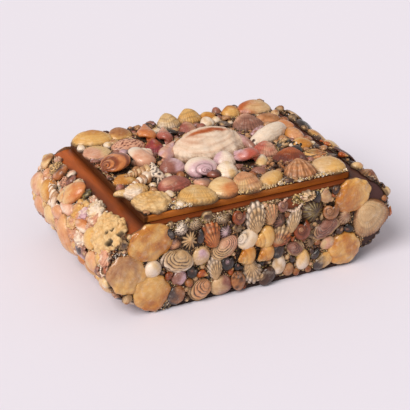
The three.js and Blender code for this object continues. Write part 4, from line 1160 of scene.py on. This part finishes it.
SPIRAL_SHELLS = {
    "lid": [
        ("pearl", -35, -59, 15, 15, 9, 0, "brown", "pinkish", "left"),
        ("pearl", -17, -46, 14, 15, 9, 0, "maroon", "mauve", "left"),
        ("turret", -90, -32, 11, 32, 11, 118, "white", "sand", "bands"),
        ("turret", -83, -14, 11, 27, 11, 100, "bone", "sand", "bands"),
        ("turret", -67, -18, 13, 34, 12, -15, "white", "slate", "spots", "lid_white_turret"),
        ("snail", -96, 12, 26, 28, 15, 110, "apricot", "amber", "whorls", "lid_banded_snail"),
        ("snail", -66, 14, 29, 22, 15, -75, "white", "pinkish", "right", "lid_white_snail"),
        ("snail", -74, 37, 11, 11, 7, 0, "slate", "lilac", "left"),
        ("snail", -88, 38, 12, 9, 5, 80, "brown", "black", "plain"),
        ("whelk", -38, 67, 17, 24, 12, -20, "apricot", "orange", "plain", "lid_orange_whelk"),
        ("whelk", -24, 53, 14, 22, 12, -20, "pinkish", "rose", "front"),
        ("whelk", -37, 17, 14, 32, 11, -45, "pinkish", "lilac", "plain", "lid_pink_whelk"),
        ("snail", -25, -33, 26, 24, 15, 170, "white", "lilac", "back", "lid_lilac_snail"),
        ("snail", 27, -28, 20, 21, 15, 45, "salmon", "lilac", "back", "lid_rosy_snail"),
        ("snail", -13, 62, 10, 11, 7, 0, "black", "slate", "plain"),
        ("snail", 46, 58, 9, 16, 6, 0, "slate", "bone", "plain"),
    ],
    "front": [
        ("pearl", -66, 34, 11, 11, 5, 0, "black", "dusky", "crown"),
        ("pearl", -18, 82, 13, 13, 8, 0, "amber", "peach", "crown"),
        ("pearl", 51, 52, 17, 16, 9, 20, "amber", "peach", "crown"),
        ("pearl", 83, 66, 16, 15, 8, 40, "tan", "peach", "crown"),
        ("snail", -9, 57, 19, 18, 8, 60, "white", "cream", "plain"),
        ("pearl", 29, 83, 10, 10, 7, 0, "dusky", "peach", "crown"),
        ("whelk", 9, 54, 21, 20, 9, 100, "straw", "gold", "crown"),
        ("whelk", -10, 40, 19, 18, 9, 100, "straw", "gold", "right"),
        ("whelk", 10, 37, 16, 17, 9, 110, "gold", "butter", "plain"),
        ("pearl", -29, 35, 13, 13, 6, 0, "black", "lilac", "crown"),
        ("snail", -18, 14, 14, 19, 7, 0, "tan", "brown", "spots"),
        ("snail", 13, 11, 18, 14, 7, 60, "brown", "bone", "crown"),
        ("pearl", 25, 35, 13, 13, 6, 0, "black", "slate", "right"),
        ("whelk", 77, 84, 12, 15, 5, 0, "bone", "tan", "plain"),
    ],
    "left": [
        ("snail", 29, 9, 17, 30, 12, -45, "cream", "apricot", "front", "left_orange_snail"),
        ("turret", 42, 40, 12, 30, 9, 15, "white", "sand", "bands"),
        ("pearl", 24, 52, 14, 14, 9, 0, "maroon", "apricot", "margin"),
        ("pearl", 22, 30, 10, 11, 7, 0, "brown", "mauve", "margin"),
        ("pearl", 20, -7, 9, 10, 7, 0, "black", "olive", "spots"),
        ("snail", 26, 88, 14, 15, 7, 0, "cream", "tan", "plain"),
    ],
}
SPIRAL_FINISH = {kind: "spiral" for kind in SPIRALS}
FINISHES["spiral"] = shell_material("spiral_shell", 30, 4, 0.4, 0.15, 0.32, 0.32, 0.35)
for face, rows in mixed.items():
    SPIRAL_SHELLS.setdefault(face, []).extend(row for row in rows if row[0] in SPIRALS)
set_shells("snails", SPIRAL_SHELLS, spiral, SPIRAL_FINISH)

# ---- Worm tubes ---------------------------------------------------------------------------
# Chalky tubes left by sea worms, curled up tight in clusters on the lid, and one long thin
# curl round the bare wood near the top of the front.
TUBE_SHARE = 0.1               # a tube's radius over the width of its curl


def curl(kind, size, seed, detail):
    """A tube on a winding path: the path goes round two and a half times while its distance from
    the middle swells and shrinks, and it rises in a wave. Rings ridge the tube a little. The
    loose curl goes round once, wide, with a thinner tube."""
    width, length, height = size
    loose = kind == "loose curl"
    thick = (0.045 if loose else TUBE_SHARE) * width
    rows, cols = 90, 10
    share = np.linspace(0, 1, rows)
    turn = 2 * math.pi * (0.8 if loose else 2.4) * share + seed
    reach = 0.42 if loose else 0.2 + 0.22 * share
    reach = reach + (0.03 if loose else 0.07) * np.sin(5 * turn + seed)
    rise = 0.35 + 0.3 * np.sin(2.7 * turn + seed)
    path = np.stack([reach * width * np.cos(turn), reach * length * np.sin(turn), height * rise], 1)
    ahead = np.gradient(path, axis=0)
    ahead /= np.linalg.norm(ahead, axis=1)[:, None]
    side = np.cross(ahead, [0.0, 0.0, 1.0])
    side /= np.linalg.norm(side, axis=1)[:, None]
    over = np.cross(side, ahead)
    around = np.linspace(0, 2 * math.pi, cols, endpoint=False)[None, :]
    swell = thick * (1 + 0.12 * np.sin(140 * share))[:, None] * np.minimum(1, 12 * share + 0.4)[:, None]
    points = path[:, None] + (side[:, None] * (swell * np.cos(around))[..., None]
                              + over[:, None] * (swell * np.sin(around))[..., None])
    along = share[:, None] + 0 * around
    return points, around + 0 * along, along, 0.5 * clamped(-np.sin(140 * along))


CURLS = {
    "lid": [
        ("curl", 78, -13, 14, 14, 8, 0, "bone", "black", "bands"),
        ("curl", 86, -20, 11, 12, 7, 0, "white", "black", "bands"),
        ("curl", 47, -52, 13, 14, 8, 0, "sand", "brown", "bands"),
        ("curl", 55, -58, 11, 11, 7, 0, "tan", "brown", "bands"),
        ("curl", -57, 66, 9, 9, 6, 0, "bone", "brown", "bands"),
    ],
    "front": [
        ("loose curl", 41, 83, 24, 16, 4, 0, "white", "pinkish", "plain"),
        ("curl", -15, 8, 11, 10, 5, 0, "orange", "brown", "bands"),
        ("curl", 70, 62, 9, 12, 5, 0, "bone", "brown", "bands"),
    ],
    "left": [
        ("loose curl", 56, -92, 15, 14, 4, 0, "white", "pinkish", "plain"),
        ("curl", 36, 52, 9, 9, 6, 0, "white", "sand", "bands"),
    ],
}
CURL_FINISH = {"curl": "chalky", "loose curl": "smooth"}
set_shells("worm_tubes", CURLS, curl, CURL_FINISH)

# ---- Small shells in the gaps ---------------------------------------------------------------
# Periwinkles, top shells, young clams and limpets a few millimetres across, pushed into the
# glue wherever the bigger shells left room.
SMALL_KINDS = {
    "lid": [("snail", "brown", "bone"), ("clam", "bone", "tan"), ("snail", "maroon", "mauve"),
            ("clam", "dusky", "rose"), ("whelk", "sand", "brown"), ("clam", "white", "cream"),
            ("pearl", "brown", "sand"), ("clam", "tan", "amber"), ("snail", "dusky", "lilac")],
    "front": [("snail", "brown", "sand"), ("cockle", "bone", "tan"), ("pearl", "brown", "sand"),
              ("clam", "bone", "sand"), ("whelk", "orange", "butter"), ("limpet", "brown", "bone"),
              ("clam", "tan", "amber"), ("pearl", "black", "dusky"), ("scallop", "bone", "brown"),
              ("clam", "cream", "pinkish"), ("snail", "amber", "tan"), ("mussel", "black", "brown")],
    "left": [("crust", "pinkish", "cream"), ("clam", "cream", "white"), ("snail", "cream", "tan"),
             ("clam", "peach", "pinkish"), ("crust", "white", "bone"), ("clam", "butter", "straw"),
             ("barnacle", "pinkish", "white"), ("clam", "white", "pinkish"), ("pearl", "dusky", "bone")],
}
SMALL_KINDS["back"] = SMALL_KINDS["right"] = SMALL_KINDS["front"]
SMALL_RADIUS = (2.3 * MM, 5.0 * MM)
SMALL_TRIES = 9000
OVERLAP = 0.8 * MM             # how far neighbours may press into each other


def spots_on(face, count, draw):
    """Places spread evenly over a bed, as across and up."""
    up_low, up_high = ((lid_low[1], lid_high[1]) if face == "lid" else
                       (BODY_FRONT, BODY_BACK) if face in ("left", "right") else
                       (end_low[2], BODY_TOP))
    up = draw.uniform(up_low + BED_RIM, up_high - BED_RIM, count)
    if face in ("left", "right"):
        return draw.uniform(ROLL_START, ROLL_END, count), up
    half = lid_high[0] - BED_RIM if face == "lid" else half_width(up) - BED_RIM
    return draw.uniform(-1, 1, count) * half, up


def room_at(across, up, shells):
    """How far each place lies from the nearest shell: the distance to the shell's middle, less
    the share of it that lies inside the shell's ellipse."""
    at = np.array(shells).T
    east, north = across[:, None] - at[0], up[:, None] - at[1]
    c, s = np.cos(at[4]), np.sin(at[4])
    off = np.hypot((c * east + s * north) / at[2], (c * north - s * east) / at[3])
    return (np.hypot(east, north) * (1 - 1 / np.maximum(off, 1e-6))).min(axis=1)


def any_shell(kind, size, seed, detail):
    """The shape of a shell of any kind."""
    grow = valve if kind in VALVES else cone if kind in CONES else spiral
    return grow(kind, size, seed, detail)


small_shells = {}
for face_number, (face, kinds) in enumerate(SMALL_KINDS.items()):
    draw = np.random.default_rng(70 + face_number)
    across, up = spots_on(face, SMALL_TRIES, draw)
    room = np.minimum(room_at(across, up, covered[face]) + OVERLAP, SMALL_RADIUS[1])
    taken = np.zeros((0, 3))
    small_shells[face] = []
    for spot in np.argsort(-room)[:np.count_nonzero(room > SMALL_RADIUS[0])]:
        radius = room[spot]
        if len(taken):
            away = np.hypot(taken[:, 0] - across[spot], taken[:, 1] - up[spot]) - taken[:, 2]
            radius = min(radius, away.min() + OVERLAP)
        if radius < SMALL_RADIUS[0]:
            continue
        taken = np.vstack([taken, [across[spot], up[spot], radius]])
        kind, first, second = kinds[draw.integers(len(kinds))]
        wide, long_, high = 2 * radius / MM * draw.uniform([0.9, 0.95, 0.45], [1.1, 1.25, 0.65])
        small_shells[face].append((kind, across[spot] / MM, up[spot] / MM, wide, long_, high,
                                   draw.uniform(-180, 180), first, second, "crown"))
EVERY_FINISH = {**FINISH_OF, **CONE_FINISH, **SPIRAL_FINISH}
set_shells("gap_shells", small_shells, any_shell, EVERY_FINISH, 0)

# ---- Coarse shell sand ----------------------------------------------------------------------
# Crushed shell thrown on the wet glue: cream and brown crumbs in every gap, with thicker drifts
# along the lid's front lip, the corners and the top of the rolls.
CRUMB_TINTS = {
    "lid": ["cream", "bone", "sand", "tan", "brown", "butter", "straw"],
    "front": ["sand", "tan", "brown", "bone", "olive", "maroon", "cream", "tan"],
    "left": ["cream", "pinkish", "bone", "white", "butter", "white"],
    "back": ["bone", "sand", "tan", "brown", "black", "maroon"],
    "right": ["bone", "sand", "tan", "brown", "black", "maroon"],
}
CRUMB_SIZE = (0.4 * MM, 1.1 * MM)
CRUMBS_A_FACE = 4200
CRUMB_LIFT = 0.9 * MM
DRIFT_LIFT = (0.3, 2.2)        # millimetres
# face, middle across and up, half width and half height in millimetres, crumbs, tints
DRIFTS = [
    ("lid", -68, -84, 14, 7, 420, ["cream", "white", "butter"]),
    ("lid", 8, -86, 20, 4, 420, ["cream", "butter", "bone"]),
    ("lid", 47, -84, 16, 6, 520, ["cream", "white", "straw"]),
    ("lid", 84, -87, 22, 3, 300, ["cream", "white", "straw"]),
    ("lid", 103, -60, 4, 24, 260, ["cream", "bone", "sand"]),
    ("lid", 28, -62, 14, 5, 160, ["tan", "brown", "sand"]),
    ("lid", -106, 10, 4, 40, 200, ["cream", "sand", "tan"]),
    ("front", -98, 6, 9, 5, 260, ["bone", "white", "black"]),
    ("front", -124, 66, 8, 8, 160, ["bone", "white", "sand"]),
    ("front", -72, 86, 30, 4, 420, ["bone", "olive", "cream", "brown"]),
    ("front", -10, 88, 36, 2.5, 420, ["bone", "sand", "brown", "olive"]),
    ("front", 60, 86, 20, 5, 420, ["straw", "cream", "olive", "black"]),
    ("front", -138, 70, 9, 12, 220, ["bone", "white", "sand", "black"]),
    ("left", 24, -20, 7, 60, 500, ["cream", "white", "pinkish", "tan"]),
    ("left", 22, 60, 5, 30, 300, ["cream", "bone", "brown", "sand"]),
]

CRUMB_CORNERS = np.array([(1, 0, 0), (0, 1, 0), (-1, 0, 0), (0, -1, 0), (0, 0, 1), (0, 0, -1)])
CRUMB_FACES = np.array([(0, 1, 4), (1, 2, 4), (2, 3, 4), (3, 0, 4),
                        (1, 0, 5), (2, 1, 5), (3, 2, 5), (0, 3, 5)])


def crumbs(face, across, up, lift, sizes, tints, draw):
    """Many crumbs as whole arrays: each is an eight-sided stone, pulled about at random, times
    its size, turned by a random rotation, at its place on the face."""
    count = len(across)
    corners = CRUMB_CORNERS * draw.uniform(0.7, 1.4, (count, 6, 1))
    corners = corners * sizes[:, None, None] * draw.uniform(0.6, 1.3, (count, 1, 3))
    turns, _ = np.linalg.qr(draw.normal(size=(count, 3, 3)))
    turns *= np.linalg.det(turns)[:, None, None]
    corners = np.einsum("nij,nkj->nki", turns, corners)
    place = np.stack([across, up, lift], axis=1)
    points = FACES[face]((corners + place[:, None]).reshape(-1, 3))
    faces = (CRUMB_FACES + 6 * np.arange(count)[:, None, None]).reshape(-1, 3)
    if outward(points[:6], CRUMB_FACES) is not CRUMB_FACES:
        faces = faces[:, ::-1]
    colours = np.array([linear(TINTS[name]) for name in tints])[draw.integers(len(tints), size=count)]
    colours[:, :3] *= draw.uniform(0.75, 1.1, (count, 1))
    return points, faces, np.repeat(colours, 6, axis=0)


crumb, crumb_tree, crumb_shader = bare_material("crushed_shell")
crumb_place = add_node(crumb_tree, "ShaderNodeTexCoord").outputs["Object"]
crumb_tint = add_node(crumb_tree, "ShaderNodeAttribute", attribute_name="tint")
crumb_noise = link_noise(crumb_tree, crumb_place, 900.0, 3.0)
crumb_dark = link_mix(crumb_tree, link_range(crumb_tree, crumb_noise, 0.4, 0.7, 0.0, 0.5),
                      crumb_tint.outputs["Color"], linear(0x4A3020))
crumb_tree.links.new(crumb_dark, crumb_shader.inputs["Base Color"])
crumb_tree.links.new(link_range(crumb_tree, crumb_noise, 0.0, 1.0, 0.35, 0.8),
                     crumb_shader.inputs["Roughness"])

for face_number, (face, tints) in enumerate(CRUMB_TINTS.items()):
    draw = np.random.default_rng(170 + face_number)
    across, up = spots_on(face, 3 * CRUMBS_A_FACE, draw)
    shells = covered[face]
    free = room_at(across, up, shells) > -0.4 * MM
    across, up = across[free][:CRUMBS_A_FACE], up[free][:CRUMBS_A_FACE]
    sizes = draw.uniform(*CRUMB_SIZE, len(across))
    batches = [crumbs(face, across, up, CRUMB_LIFT + 0.4 * sizes, sizes, tints, draw)]
    for place, middle, level, half, tall, count, drift_tints in DRIFTS:
        if place == face:
            spread = draw.uniform(-1, 1, (2, count)) * np.array([[half], [tall]]) * MM
            sizes = draw.uniform(*CRUMB_SIZE, count)
            lift = draw.uniform(*DRIFT_LIFT, count) * MM
            batches.append(crumbs(face, middle * MM + spread[0], level * MM + spread[1], lift, sizes,
                                  drift_tints, draw))
    starts = np.cumsum([0] + [len(points) for points, _, _ in batches[:-1]])
    points = np.concatenate([points for points, _, _ in batches])
    faces = np.concatenate([faces + start for (_, faces, _), start in zip(batches, starts)])
    mesh = mesh_of(face + "_crumbs", points, faces, smooth=False)
    colours = np.concatenate([colours for _, _, colours in batches]).astype(np.float32)
    mesh.attributes.new("tint", "FLOAT_COLOR", "POINT").data.foreach_set("color", colours.ravel())
    number = len(points) // 6
    cells = math.ceil(math.sqrt(number))
    step = np.arange(8)
    corner = np.stack([step % 4, step // 4], 1)[:, None] / [4, 2]
    own = corner + np.array([[0.02, 0.04], [0.23, 0.04], [0.12, 0.46]])
    index = np.arange(number)
    cell = np.stack([index % cells, index // cells], 1)[:, None, None]
    layout = ((cell + 0.02 + 0.96 * own[None]) / cells).reshape(-1, 2)
    mesh.uv_layers.new(name="OFBake").data.foreach_set("uv", layout.astype(np.float32).ravel())
    shown_piece(face + "_crumbs", mesh, crumb, "sand_and_glue")
